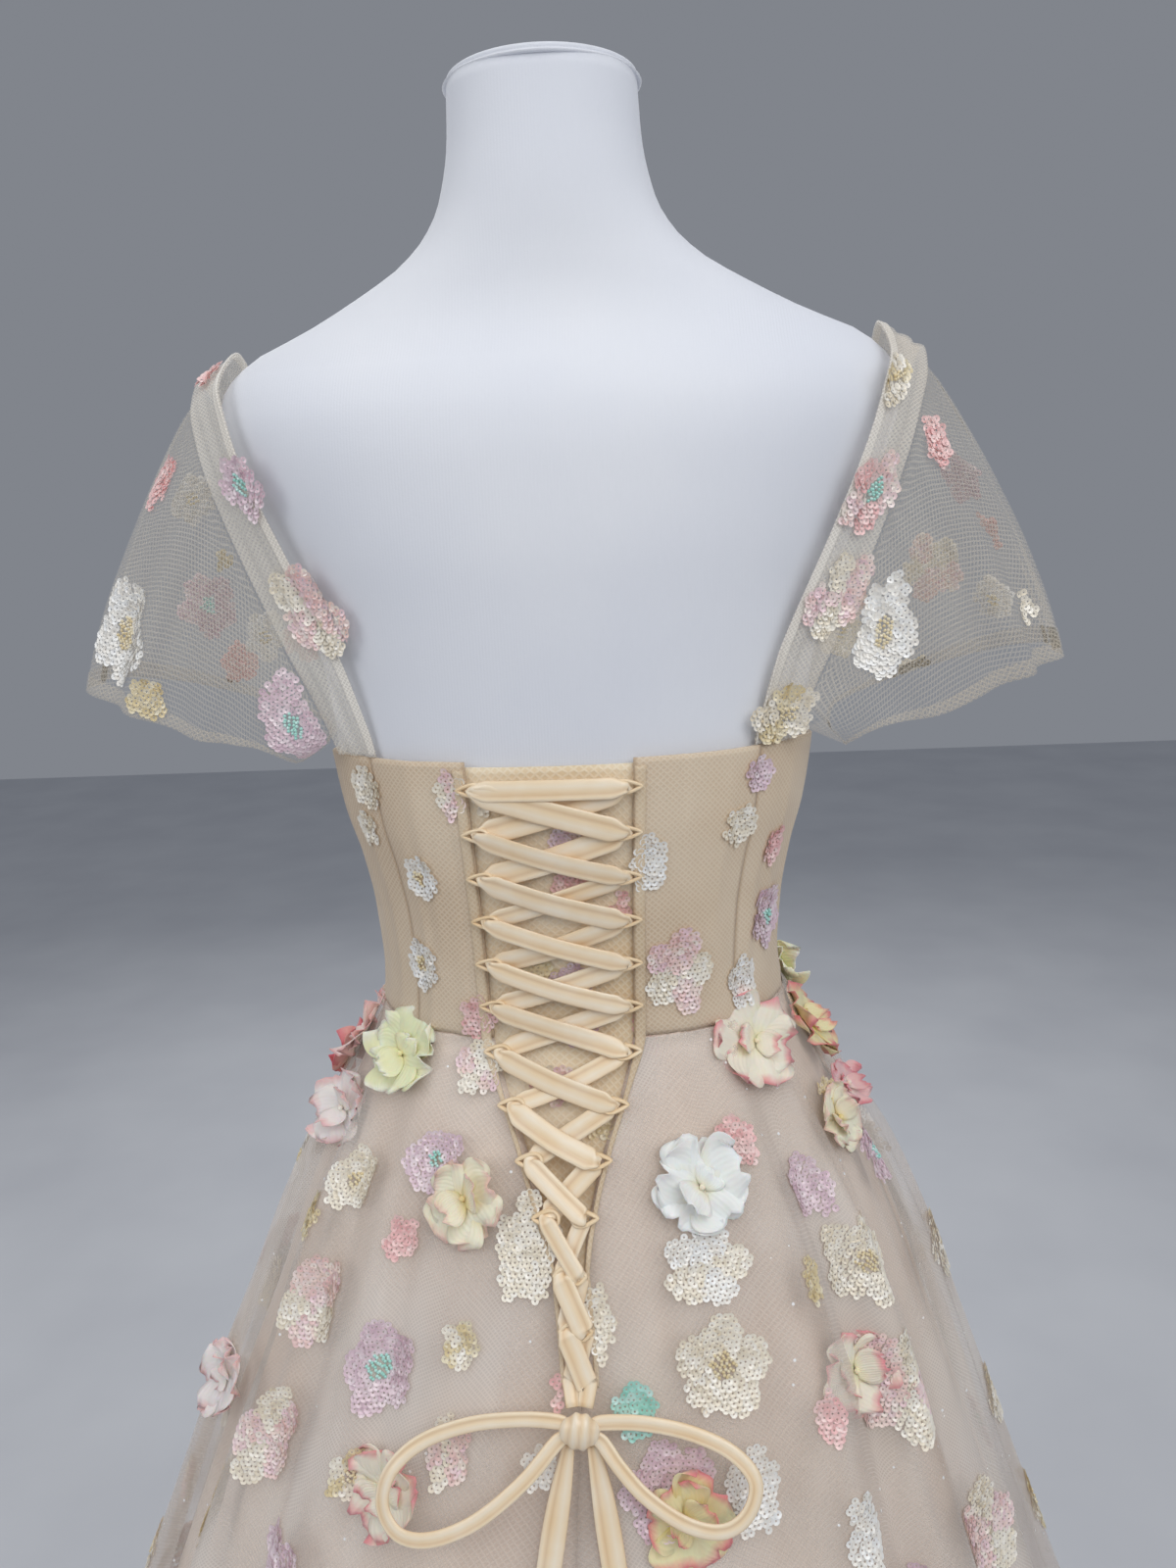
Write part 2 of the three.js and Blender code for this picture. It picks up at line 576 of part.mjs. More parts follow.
// ---------- lacing ----------
// a point over the laced back, at a width from the lacing's centre line
const lacingAngle = (x, rise) => angleAt(laceCentre(rise) + x, gownSide(rise));
const lacingPoint = (x, rise, height) => gownPoint(lacingAngle(x, rise), rise, height);
const lacingNormal = (x, rise) => normalOf(gownPoint, lacingAngle(x, rise), rise);

const levelRise = (level) => lace.firstRise - lace.pitch * level;
const turnReach = (level) => Math.max(openingHalf(levelRise(level)) - 3.5, 4.6);

// one ribbon: it starts at the bow, climbs one side's zigzag, crosses at the top and comes down the other
function addLace() {
  const turns = [];
  for (let level = lace.levels - 1; level >= 0; level -= 1) {
    turns.push({ level, x: (level % 2 ? -1 : 1) * turnReach(level) });
  }
  for (let level = 0; level < lace.levels; level += 1) {
    turns.push({ level, x: (level % 2 ? 1 : -1) * turnReach(level) });
  }
  const shares = [0, 0.05, 0.27, 0.73, 0.95];
  const stops = [];
  turns.slice(0, -1).forEach((from, i) => {
    const to = turns[i + 1];
    const [upper, lower] = from.level <= to.level ? [from, to] : [to, from];
    const flat = from.level === to.level;
    const over = flat || upper.x > lower.x;
    const far = over ? laceHeights.over : laceHeights.under;
    const full = lerp(lace.narrow, lace.width, smooth(6, 30, Math.abs(from.x)));
    for (const share of shares) {
      const near = Math.min(share, 1 - share);
      const x = lerp(from.x, to.x, share);
      const rise = lerp(levelRise(from.level), levelRise(to.level), share);
      stops.push({
        point: lacingPoint(x, rise, near > 0 ? far : laceHeights.turn),
        normal: lacingNormal(x, rise),
        width: near > 0.1 ? full : lace.bunched,
        thickness: lace.thickness,
      });
    }
  });
  const end = turns[turns.length - 1];
  stops.push({ ...stops[0], normal: lacingNormal(end.x, levelRise(end.level)) });
  for (const [stop, x] of [[stops[0], turns[0].x], [stops[stops.length - 1], end.x]]) {
    stop.point = lacingPoint(lace.endShare * x, knot.rise + knot.halfHeight + 0.1, knot.height - 2);
  }
  addPiece('corset_lace', stripAlong(stops), finishes.satin);
}

// a tape sewn along the opening's edge, with a thin loop round each turn of the lace
function loopTape(sign) {
  const levels = Array.from({ length: lace.levels }, (_, level) => levelRise(level));
  const rises = [bodiceTop - 4, 0, -18, ...levels, slitEnd + 3].sort((a, b) => b - a);
  const [outer, inner] = [[], []];
  for (const rise of rises) {
    const start = Math.max(openingHalf(rise) + seamGap, tape.nearest);
    const xs = [start, start + tape.width].map((x) => sign * x);
    outer.push(xs.map((x) => lacingPoint(x, rise, tape.lift + tape.thickness)));
    inner.push(xs.map((x) => lacingPoint(x, rise, tape.lift)));
  }
  const pieces = [wallOf(outer, inner)];
  for (let level = 0; level < lace.levels; level += 1) {
    const rise = levelRise(level);
    if (rise < slitEnd + 8) break;
    const reach = Math.min(ring.reach, turnReach(level) - 1.2);
    pieces.push(loopRing(sign * turnReach(level), rise, reach));
  }
  return joined(pieces);
}

function loopRing(x, rise, reach) {
  const sides = 5;
  const [points, faces] = [[], []];
  for (let i = 0; i < sides; i += 1) {
    const around = 2 * Math.PI * (i + 0.5) / sides;
    for (const [out, up] of [[1, -0.7], [-0.1, 1], [-1, -0.7]]) {
      const wide = Math.cos(around) * (reach + out * ring.cord);
      const tall = Math.sin(around) * (ring.tall + out * ring.cord);
      points.push(lacingPoint(x + wide, rise + tall, laceHeights.turn + up * ring.cord));
    }
  }
  const next = (v) => (v + 3) % (3 * sides);
  for (let i = 0; i < sides; i += 1) {
    for (let k = 0; k < 3; k += 1) {
      const [a, b] = [3 * i + k, 3 * i + (k + 1) % 3];
      faces.push([a, next(a), next(b)], [a, next(b), b]);
    }
  }
  return facingOut(meshOf(points, faces));
}

// ---------- bow ----------
// the loops' middle line: how far out from the knot, how far below the waist, and how proud of the skirt
const bowLoops = {
  left: [
    { x: 10.6, rise: -162.5, height: 7.5 }, { x: 28, rise: -161, height: 9 }, { x: 52, rise: -163, height: 12 },
    { x: 74, rise: -171, height: 16 }, { x: 87, rise: -184, height: 19 }, { x: 90, rise: -199, height: 19 },
    { x: 82, rise: -210, height: 18 }, { x: 67, rise: -211, height: 16 }, { x: 47, rise: -203, height: 13 },
    { x: 26, rise: -187, height: 10 }, { x: 10.6, rise: -171, height: 7.5 },
  ],
  right: [
    { x: -10.7, rise: -163, height: 7.5 }, { x: -30, rise: -163, height: 9 }, { x: -52, rise: -167, height: 12 },
    { x: -70, rise: -175, height: 16 }, { x: -80, rise: -187, height: 19 }, { x: -77, rise: -200, height: 19 },
    { x: -66, rise: -206, height: 18 }, { x: -50, rise: -203, height: 15 }, { x: -32, rise: -193, height: 11 },
    { x: -19, rise: -181, height: 8.8 }, { x: -10.4, rise: -171, height: 7.5 },
  ],
};
const bowTails = {
  left: { startX: 5.5, startRise: -175.1, endX: 27 },
  right: { startX: -6.5, startRise: -175.1, endX: -42 },
};

function addBow() {
  const knotCentre = lacingPoint(knot.x, knot.rise, knot.height);
  const ball = new THREE.SphereGeometry(1, 14, 10).scale(knot.halfWidth, knot.halfDepth, knot.halfHeight);
  addPiece('bow_knot', ball.translate(knotCentre.x, knotCentre.y, knotCentre.z), finishes.satin);
  for (const [name, loop] of Object.entries(bowLoops)) {
    const stops = loop.map(({ x, rise, height }) => ({
      point: lacingPoint(x, rise, height), normal: lacingNormal(x, rise), ...bowRibbon,
    }));
    addPiece(`bow_loop_${name}`, stripAlong(stops), finishes.satin);
  }
  for (const [name, tail] of Object.entries(bowTails)) {
    const steps = 16;
    const stops = [];
    for (let i = 0; i <= steps; i += 1) {
      const along = i / steps;
      const x = lerp(tail.startX, tail.endX, 1 - (1 - along) ** 2.2);
      const rise = tail.startRise - tailRibbon.drop * along;
      const lift = lerp(3, 1.8, smooth(0, 0.15, along));
      stops.push({
        point: lacingPoint(x, rise, lift), normal: lacingNormal(x, rise),
        width: lerp(tailRibbon.tied, tailRibbon.width, smooth(0, 0.1, along)), thickness: tailRibbon.thickness,
      });
    }
    addPiece(`bow_tail_${name}`, stripAlong(stops), finishes.satin);
  }
}

// ---------- fabric flowers ----------
// angle from the centre back, drop below the waist, size across, how far the petals lift, turn, colour
const flowers = [
  { name: 'green_left', angle: 48, drop: 16, across: 43, lift: 12, turn: 20, color: 0xe9efc9 },
  { name: 'coral_left', angle: 96, drop: 50, across: 40, lift: 13, turn: 50, color: 0xe98a83 },
  { name: 'pale_pink_left', angle: 80, drop: 20, across: 38, lift: 12, turn: 0, color: 0xf3c9c0 },
  { name: 'white_pink_left', angle: 68, drop: 58, across: 36, lift: 11, turn: 35, color: 0xf6e4de },
  { name: 'green_right', angle: -103, drop: 2, across: 34, lift: 12, turn: 10, color: 0xeef0cf },
  { name: 'yellow_right', angle: -87, drop: 28, across: 44, lift: 13, turn: 60, color: 0xf6e6b4 },
  { name: 'small_pink_right', angle: -88, drop: 70, across: 30, lift: 10, turn: 25, color: 0xf2b9b9 },
  { name: 'pink_cream_right', angle: -48, drop: 13, across: 44, lift: 12, turn: 0, color: 0xf6d9cd },
  { name: 'cream_back_left', angle: 19, drop: 73, across: 40, lift: 11, turn: 15, color: 0xf7e7cf },
  { name: 'white_back_right', angle: -21, drop: 70, across: 44, lift: 13, turn: 40, color: 0xf6f4ef },
  { name: 'cream_right', angle: -66, drop: 66, across: 34, lift: 11, turn: 70, color: 0xf7e3b8 },
  { name: 'pink_left_low', angle: 71, drop: 218, across: 38, lift: 13, turn: 30, color: 0xf3cfc8 },
  { name: 'pink_cream_low', angle: -43.5, drop: 176, across: 38, lift: 12, turn: 55, color: 0xf6dccb },
  { name: 'bow_left', angle: 24, drop: 208, across: 42, lift: 8, turn: 0, color: 0xf5d8c9 },
  { name: 'bow_right', angle: -12, drop: 212, across: 42, lift: 7, turn: 45, color: 0xf0c77e },
  { name: 'front_1', angle: 120, drop: 22, across: 42, lift: 12, turn: 10, color: 0xf6d9cd },
  { name: 'front_2', angle: 146, drop: 30, across: 42, lift: 12, turn: 40, color: 0xf6f4ef },
  { name: 'front_3', angle: 172, drop: 16, across: 44, lift: 13, turn: 65, color: 0xf3c9c0 },
  { name: 'front_4', angle: 203, drop: 34, across: 42, lift: 12, turn: 5, color: 0xe9efc9 },
  { name: 'front_5', angle: 236, drop: 20, across: 44, lift: 12, turn: 30, color: 0xf6e6b4 },
  { name: 'front_6', angle: 128, drop: 92, across: 40, lift: 11, turn: 50, color: 0xf7e7cf },
  { name: 'front_7', angle: 158, drop: 120, across: 42, lift: 12, turn: 20, color: 0xf5d8c9 },
  { name: 'front_8', angle: 190, drop: 96, across: 40, lift: 12, turn: 0, color: 0xf6f4ef },
  { name: 'front_9', angle: 218, drop: 130, across: 42, lift: 12, turn: 35, color: 0xf2b9b9 },
];

// five cupped petals round a low middle, as one thin wall
function flowerShell({ across, lift, turn }) {
  const [petals, perPetal, thickness] = [5, 3, 1.2];
  const count = petals * perPetal;
  const rings = [{ share: 0.5, height: 0.42 }, { share: 1, height: 1 }];
  const [points, faces] = [[new THREE.Vector3(0, 0, 0), new THREE.Vector3(0, 0, thickness)], []];
  for (const level of [0, thickness]) {
    for (const { share, height } of rings) {
      for (let i = 0; i < count; i += 1) {
        const angle = turn * degree + 2 * Math.PI * i / count;
        const notch = i % perPetal === 0;
        const radius = across / 2 * share * (notch ? lerp(1, 0.72, share) : 1);
        const rise = lift * height * (notch ? 0.8 : 1) + level;
        points.push(new THREE.Vector3(radius * Math.cos(angle), radius * Math.sin(angle), rise));
      }
    }
  }
  const at = (face, ringIndex, i) => 2 + face * count * 2 + ringIndex * count + (i % count);
  for (let i = 0; i < count; i += 1) {
    faces.push([0, at(0, 0, i + 1), at(0, 0, i)], [1, at(1, 0, i), at(1, 0, i + 1)]);
    faces.push([at(0, 0, i), at(0, 0, i + 1), at(0, 1, i + 1)], [at(0, 0, i), at(0, 1, i + 1), at(0, 1, i)]);
    faces.push([at(1, 0, i), at(1, 1, i + 1), at(1, 0, i + 1)], [at(1, 0, i), at(1, 1, i), at(1, 1, i + 1)]);
    faces.push([at(0, 1, i), at(0, 1, i + 1), at(1, 1, i + 1)], [at(0, 1, i), at(1, 1, i + 1), at(1, 1, i)]);
  }
  return facingOut(meshOf(points, faces));
}

// each flower sits on the net by its middle, found on the net's own faces
function addFlowers() {
  gown.updateMatrixWorld(true);
  const nets = gown.children.filter(({ name }) => name.startsWith('skirt_net') || name.startsWith('bodice_'));
  for (const mesh of nets) mesh.material.side = THREE.DoubleSide;
  for (const flower of flowers) {
    const [angle, rise] = [flower.angle * degree, -flower.drop];
    const out = normalOf(netPoint, angle, rise);
    const start = netPoint(angle, rise).addScaledVector(out, 60);
    const hits = new THREE.Raycaster(start, out.clone().negate()).intersectObjects(nets, false);
    const seat = hits[0].point.clone().addScaledVector(out, clothGap);
    const facing = new THREE.Quaternion().setFromUnitVectors(new THREE.Vector3(0, 0, 1), out);
    const mesh = addPiece(`flower_${flower.name}`, flowerShell(flower), finish(flower.color, 0.8));
    mesh.quaternion.copy(facing);
    mesh.position.copy(seat);
  }
}

addForm();
addBodice();
addModestyPanel();
addSkirt();
addShoulders();
addLace();
addPiece('loop_tape_left', loopTape(1), finishes.satin);
addPiece('loop_tape_right', loopTape(-1), finishes.satin);
addBow();
addFlowers();

export default gown;
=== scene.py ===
# Ball gown with a laced back on a dress form: cloth, lacing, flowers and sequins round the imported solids
import math
import random
import bpy
from mathutils import Matrix, Vector


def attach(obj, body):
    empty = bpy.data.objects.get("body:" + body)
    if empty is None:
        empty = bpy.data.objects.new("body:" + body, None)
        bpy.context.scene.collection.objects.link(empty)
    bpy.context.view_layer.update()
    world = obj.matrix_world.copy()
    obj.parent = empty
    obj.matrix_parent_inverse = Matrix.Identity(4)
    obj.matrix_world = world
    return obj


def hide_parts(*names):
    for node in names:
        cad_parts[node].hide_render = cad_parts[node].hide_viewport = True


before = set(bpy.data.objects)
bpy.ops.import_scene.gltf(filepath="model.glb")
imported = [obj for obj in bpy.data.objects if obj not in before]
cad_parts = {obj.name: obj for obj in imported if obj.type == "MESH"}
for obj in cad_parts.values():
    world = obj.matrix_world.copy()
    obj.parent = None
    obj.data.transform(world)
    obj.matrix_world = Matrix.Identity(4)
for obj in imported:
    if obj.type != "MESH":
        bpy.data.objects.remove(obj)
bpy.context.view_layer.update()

print("frame loaded:", len(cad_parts), "nodes")
mm = 0.001
degree = math.pi / 180

# the gown's surfaces, in millimetres; rises are heights above the waist seam, drops go down from it
waistHeight = 1020
clothGap = 0.4
bodiceWall = 2.4
modestyWall = 1.2
liningWall = 1.2
netWall = 1.0
roundness = 2.25
waist = {"side": 118, "back": 86, "front": 84}
foldCount = 20
slitEnd = -155
hemRise = -1003
liningHemRise = -996
bodiceTop = 155

# rise, half width, depth of the back, depth of the front
formRows = [
    (-215, 150, 100, 100), (-200, 157, 106, 106), (-160, 157, 110, 110), (-100, 145, 106, 104),
    (-50, 130, 96, 93), (0, 118, 86, 84), (14, 115.6, 85.2, 84.8), (30, 114.4, 85, 87), (60, 116, 86, 96),
    (90, 121.5, 88.5, 108), (120, 130, 91, 118), (151, 134.5, 92.5, 119), (185, 137.5, 94.5, 112),
    (225, 146, 97, 104), (265, 161.5, 99, 97), (305, 179, 97.5, 88), (330, 186, 92, 78),
    (347, 184, 81, 68), (364, 170, 62, 56), (380, 136, 53, 50), (395, 107, 50, 49), (409, 83, 50, 50),
    (424, 67, 51, 52), (440, 58, 51.5, 53), (470, 51.5, 50, 52), (498, 50, 49, 51)]
# drop, spread, gap to the lining, fold depth, swing to the wearer's left
skirtRows = [
    (0, 0, 1.4, 0, 0), (18, 9, 3.5, 1.2, 0), (54, 29, 7, 4.5, 0), (105, 58, 11, 7, 0),
    (155, 79, 13, 8.5, 0), (230, 108, 14, 10.5, 4), (320, 141, 14, 12, 8), (500, 207, 15, 14.5, 13),
    (750, 303, 16.5, 18, 16), (1005, 405, 19, 21, 18)]
# drop, half width of the laced opening
openingRows = [(-160, 43.5), (-75, 40), (0, 38), (18, 34), (54, 21), (105, 6.5), (155, 0.4)]
seams = {"back": 46 * degree, "side": 90 * degree, "princess": 143 * degree}
seamGap = 0.3
halfGap = seamGap / 2


def lerp(a, b, t):
    return a + (b - a) * t


def smooth(start, end, value):
    t = min(1.0, max(0.0, (value - start) / (end - start)))
    return t * t * (3 - 2 * t)


def bell(value, middle, width):
    return math.exp(-((value - middle) / width) ** 2)


columnCache = {}


# one column of a table, by a monotone cubic through its rows
def column(rows, k, at):
    key = (id(rows), k, at)
    if key in columnCache:
        return columnCache[key]
    last = len(rows) - 1
    if at <= rows[0][0] or at >= rows[last][0]:
        value = rows[0 if at <= rows[0][0] else last][k]
    else:
        r = 0
        while at > rows[r + 1][0]:
            r += 1

        def slope(i):
            return (rows[i + 1][k] - rows[i][k]) / (rows[i + 1][0] - rows[i][0])

        def bend(i):
            if i in (0, last):
                return slope(min(i, last - 1))
            a, b = slope(i - 1), slope(i)
            return 0 if a * b <= 0 else 2 * a * b / (a + b)

        span = rows[r + 1][0] - rows[r][0]
        t = (at - rows[r][0]) / span
        value = (rows[r][k] * (1 + 2 * t) * (1 - t) ** 2 + bend(r) * span * t * (1 - t) ** 2
                 + rows[r + 1][k] * t * t * (3 - 2 * t) + bend(r + 1) * span * t * t * (t - 1))
    columnCache[key] = value
    return value


def turnFromBack(angle):
    return abs(math.atan2(math.sin(angle), math.cos(angle)))


def ovalPoint(angle, side, back, front, rise):
    s, c = math.sin(angle), math.cos(angle)
    power = 2 / roundness
    return Vector((side * math.copysign(abs(s) ** power, s),
                   (back if c > 0 else front) * math.copysign(abs(c) ** power, c), waistHeight + rise))


def angleAt(x, side):
    return math.copysign(math.asin(min(1, abs(x) / side) ** (roundness / 2)), x)


def formPoint(angle, rise, offset=0, cupDepth=6.5):
    bust = cupDepth * bell(turnFromBack(angle), 152 * degree, 20 * degree) * bell(rise, 124, 34)
    return ovalPoint(angle, column(formRows, 1, rise) + offset, column(formRows, 2, rise) + offset,
                     column(formRows, 3, rise) + offset + bust, rise)


def overModesty(angle):
    return (modestyWall + clothGap) * (1 - smooth(34 * degree, 48 * degree, turnFromBack(angle)))


def ease(rise):
    return smooth(0, 60, rise)


def bodicePoint(angle, rise, height=0):
    return formPoint(angle, rise, clothGap + bodiceWall + overModesty(angle) + ease(rise) + height, 9)


def foldWave(angle, drop):
    uneven = angle + 0.05 * math.sin(3 * angle + 0.6) + 0.03 * math.sin(7 * angle)
    wave = 0.75 * math.cos(foldCount * uneven) + 0.25 * math.cos((foldCount - 7) * uneven + 1.1)
    turn = turnFromBack(angle)
    return wave * lerp(smooth(21 * degree, 33 * degree, turn), smooth(9 * degree, 20 * degree, turn),
                       smooth(215, 320, drop))


def netPoint(angle, rise, height=0):
    drop = -rise
    spread = column(skirtRows, 1, drop)
    fold = column(skirtRows, 3, drop) * foldWave(angle, drop)
    off = 2 * clothGap + liningWall + netWall + overModesty(angle) * (1 - smooth(0, 160, drop))
    reach = off + spread + fold + height
    point = ovalPoint(angle, waist["side"] + reach, waist["back"] + reach,
                      waist["front"] + off + 0.95 * spread + fold + height, rise)
    point.x += column(skirtRows, 4, drop)
    return point


def liningPoint(angle, rise, height=0):
    inside = column(skirtRows, 2, -rise)
    fold = column(skirtRows, 3, -rise) * foldWave(angle, -rise)
    return netPoint(angle, rise, height - inside - 0.45 * fold)


def gownPoint(angle, rise, height=0):
    return bodicePoint(angle, rise, height) if rise >= 0 else netPoint(angle, rise, height)


sideCache = {}


def gownSide(rise):
    if rise not in sideCache:
        sideCache[rise] = (gownPoint(seams["side"], rise).x - gownPoint(-seams["side"], rise).x) / 2
    return sideCache[rise]


def openingHalf(rise):
    return column(openingRows, 1, -rise)


def laceCentre(rise):
    return 6.5 * smooth(-155, -60, rise)


def openingAngle(sign, rise, extra=0):
    return angleAt(laceCentre(rise) + sign * (openingHalf(rise) + extra), gownSide(rise))


def normalOf(surface, angle, rise):
    across = surface(angle + 0.01, rise) - surface(angle - 0.01, rise)
    up = surface(angle, rise + 1) - surface(angle, rise - 1)
    return up.cross(across).normalized()


def lacingPoint(x, rise, height):
    return gownPoint(angleAt(laceCentre(rise) + x, gownSide(rise)), rise, height)


def lacingNormal(x, rise):
    return normalOf(gownPoint, angleAt(laceCentre(rise) + x, gownSide(rise)), rise)


# camera behind the gown, a little above its shoulders; turned and tilted in degrees
view = {"place": (-45.0, 680.8, 1287.8), "turn": -3.09, "tilt": 12.07, "roll": -2.5, "lens": 27.02,
        "sensor": 36}
frameSize = (1200, 1600)


def viewAxes():
    turn, tilt, roll = (view[k] * degree for k in ("turn", "tilt", "roll"))
    ahead = Vector((-math.sin(turn) * math.cos(tilt), -math.cos(turn) * math.cos(tilt), -math.sin(tilt)))
    right = ahead.cross(Vector((0, 0, 1))).normalized()
    up = right.cross(ahead)
    return (right * math.cos(roll) + up * math.sin(roll), up * math.cos(roll) - right * math.sin(roll), ahead)


viewRight, viewUp, viewAhead = viewAxes()
bpy.ops.object.camera_add()
camera = bpy.context.object
camera.data.lens = view["lens"]
camera.data.sensor_width = view["sensor"]
camera.matrix_world = Matrix.Translation(Vector(view["place"]) * mm) @ Matrix(
    (viewRight, viewUp, -viewAhead)).transposed().to_4x4()
bpy.context.scene.camera = camera


# the line of sight through one point of the frame
def sightLine(px, py):
    focal = view["lens"] / view["sensor"] * frameSize[1]
    across, down = px - frameSize[0] / 2, py - frameSize[1] / 2
    return (viewAhead + viewRight * across / focal - viewUp * down / focal).normalized()


def deselectAll():
    if bpy.context.object and bpy.context.object.mode != "OBJECT":
        bpy.ops.object.mode_set(mode="OBJECT")
    bpy.ops.object.select_all(action="DESELECT")


def selectOnly(*things):
    deselectAll()
    for thing in things:
        thing.select_set(True)
    bpy.context.view_layer.objects.active = things[0]


def applyModifier(piece, kind, **settings):
    selectOnly(piece)
    modifier = piece.modifiers.new(kind.title(), kind)
    for name, value in settings.items():
        setattr(modifier, name, value)
    bpy.ops.object.modifier_apply(modifier=modifier.name)


# turns the faces away from a middle, which may follow each face's own place
def faceOutward(piece, middle):
    mesh = piece.data
    towards = sum(f.area * f.normal.dot((f.center - middle(f.center)).normalized()) for f in mesh.polygons)
    if towards < 0:
        mesh.flip_normals()


def bodyAxis(point):
    return Vector((0, 0, point.z))


# one value for each vertex, which a material reads by its name
def giveValues(mesh, name, values):
    mesh.attributes.new(name, "FLOAT", "POINT").data.foreach_set("value", values)


def shadeSmooth(piece):
    selectOnly(piece)
    bpy.ops.object.shade_smooth()


cuts = {}  # each sheet's width and length in metres, and its area


# a grid laid on a surface: place(u, v) gives millimetres; the UV map is in centimetres of cloth
def clothFrom(name, place, across, along, middle=None, wall=0, round=False, capped=False):
    deselectAll()
    bpy.ops.mesh.primitive_grid_add(x_subdivisions=across, y_subdivisions=along, size=2)
    piece = bpy.context.object
    piece.name = piece.data.name = name
    mesh = piece.data
    where = [(int((v.co.x + 1) / 2 * across + 0.5), int((v.co.y + 1) / 2 * along + 0.5))
             for v in mesh.vertices]
    spots = {ij: place(ij[0] / across, ij[1] / along) for ij in where}
    rowLength = [sum((spots[i + 1, j] - spots[i, j]).length for i in range(across)) for j in range(along + 1)]
    down = {}
    for i in range(across + 1):
        down[i, 0] = 0.0
        for j in range(along):
            down[i, j + 1] = down[i, j] + (spots[i, j + 1] - spots[i, j]).length
    for vert, ij in zip(mesh.vertices, where):
        vert.co = spots[ij] * mm
    giveValues(mesh, "edge", [min(i / across, 1 - i / across) * rowLength[j] for i, j in where])
    giveValues(mesh, "reach", [j / along for i, j in where])
    giveValues(mesh, "share", [i / across for i, j in where])
    uv = mesh.uv_layers.active.data
    for loop in mesh.loops:
        i, j = where[loop.vertex_index]
        uv[loop.index].uv = ((i / across - 0.5) * rowLength[j] / 10, down[i, j] / 10)
    mesh.update()
    area = sum(f.area for f in mesh.polygons)
    if middle:
        faceOutward(piece, middle)
    if round:
        bpy.ops.object.mode_set(mode="EDIT")
        bpy.ops.mesh.select_all(action="SELECT")
        bpy.ops.mesh.remove_doubles(threshold=0.00001)
        if capped:
            bpy.ops.mesh.fill_holes(sides=0)
            bpy.ops.mesh.normals_make_consistent(inside=False)
        bpy.ops.object.mode_set(mode="OBJECT")
    if wall:
        applyModifier(piece, "SOLIDIFY", thickness=wall * mm, offset=-1, use_even_offset=False)
    shadeSmooth(piece)
    longest = max(down[i, along] for i in range(across + 1))
    cuts[name] = (max(rowLength) * mm, longest * mm, area)
    return piece


def finishPiece(piece, material, slotName, *nodes):
    piece.data.materials.clear()
    piece.data.materials.append(material)
    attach(piece, "root")
    if nodes:
        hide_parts(*nodes)


# says what the sheet was cut to; a panel that isn't a rectangle gives its area
def declareCloth(piece):
    width, length, area = cuts[piece.name]
    print("  cut of", piece.name, round(width, 3), "x", round(length, 3), "m, area", round(area, 4))


# a smooth curve through stops, each a list of numbers
def through(stops, at, closed=False):
    count = len(stops)
    spans = count if closed else count - 1
    t = at * spans
    i = min(int(t), spans - 1)
    t -= i

    def stop(k):
        return stops[k % count] if closed else stops[min(max(k, 0), count - 1)]

    a, b, c, d = stop(i - 1), stop(i), stop(i + 1), stop(i + 2)
    return [0.5 * (2 * q + (r - p) * t + (2 * p - 5 * q + 4 * r - s) * t * t
                   + (3 * q - p - 3 * r + s) * t ** 3) for p, q, r, s in zip(a, b, c, d)]


# a tube of satin pressed flat, with a groove along its seam; stops hold place, face normal, width and
# thickness; gives the piece and its middle line
def ribbonAlong(name, stops, along, around=20, groove=0.4):
    rows = [[*s["point"], *s["normal"], s["width"], s["thickness"]] for s in stops]
    lines = [through(rows, k / along) for k in range(along + 1)]
    points = [Vector(line[:3]) for line in lines]

    def place(u, v):
        k = int(v * along + 0.5)
        ahead = (points[min(k + 1, along)] - points[max(k - 1, 0)]).normalized()
        face = Vector(lines[k][3:6])
        side = ahead.cross(face).normalized()
        face = side.cross(ahead).normalized()
        width, thickness = lines[k][6:8]
        x = math.cos(2 * math.pi * u)
        if u in (0, 0.5, 1):
            y = 0
        elif u > 0.5:
            y = -0.7 * math.sqrt(max(0, 1 - x ** 4))
        else:
            ridge = (x + 1 - 0.5 * (1 + groove)) / (0.5 * (1 + groove)) if x < groove else (
                x - 0.5 * (1 + groove)) / (0.5 * (1 - groove))
            y = 0.3 * (1 - abs(x) ** 8) + 0.7 * math.sqrt(max(0, 1 - ridge * ridge))
        return points[k] + side * (x * width / 2) + face * (y * thickness / 2)

    return clothFrom(name, place, around, along, round=True, capped=True), points


def linear(hexColour):
    parts = [int(hexColour[i:i + 2], 16) / 255 for i in (1, 3, 5)]
    return (*[p / 12.92 if p <= 0.04045 else ((p + 0.055) / 1.055) ** 2.4 for p in parts], 1)


# adds a node and gives one of its outputs; settings are its properties, a ramp's stops, and its inputs by
# name or number, each a value or another node's output
def addNode(tree, kind, settings=None, output=0):
    node = tree.nodes.new("ShaderNode" + kind)
    for key, value in (settings or {}).items():
        if key == "stops":
            elements = node.color_ramp.elements
            while len(elements) < len(value):
                elements.new(0.5)
            for element, (at, colour) in zip(elements, value):
                element.position, element.color = at, linear(colour)
        elif isinstance(value, bpy.types.NodeSocket):
            tree.links.new(value, node.inputs[key])
        elif isinstance(key, str) and hasattr(node, key):
            setattr(node, key, value)
        else:
            node.inputs[key].default_value = value
    return node.outputs[output]


def addNoise(tree, place, scale, detail):
    return addNode(tree, "TexNoise", {"Scale": scale, "Detail": detail, "Vector": place})


def addRamp(tree, value, places, tones):
    return addNode(tree, "ValToRGB", {"stops": list(zip(places, tones)), "Fac": value})


def addMath(tree, operation, *values):
    return addNode(tree, "Math", {"operation": operation, **dict(enumerate(values))})


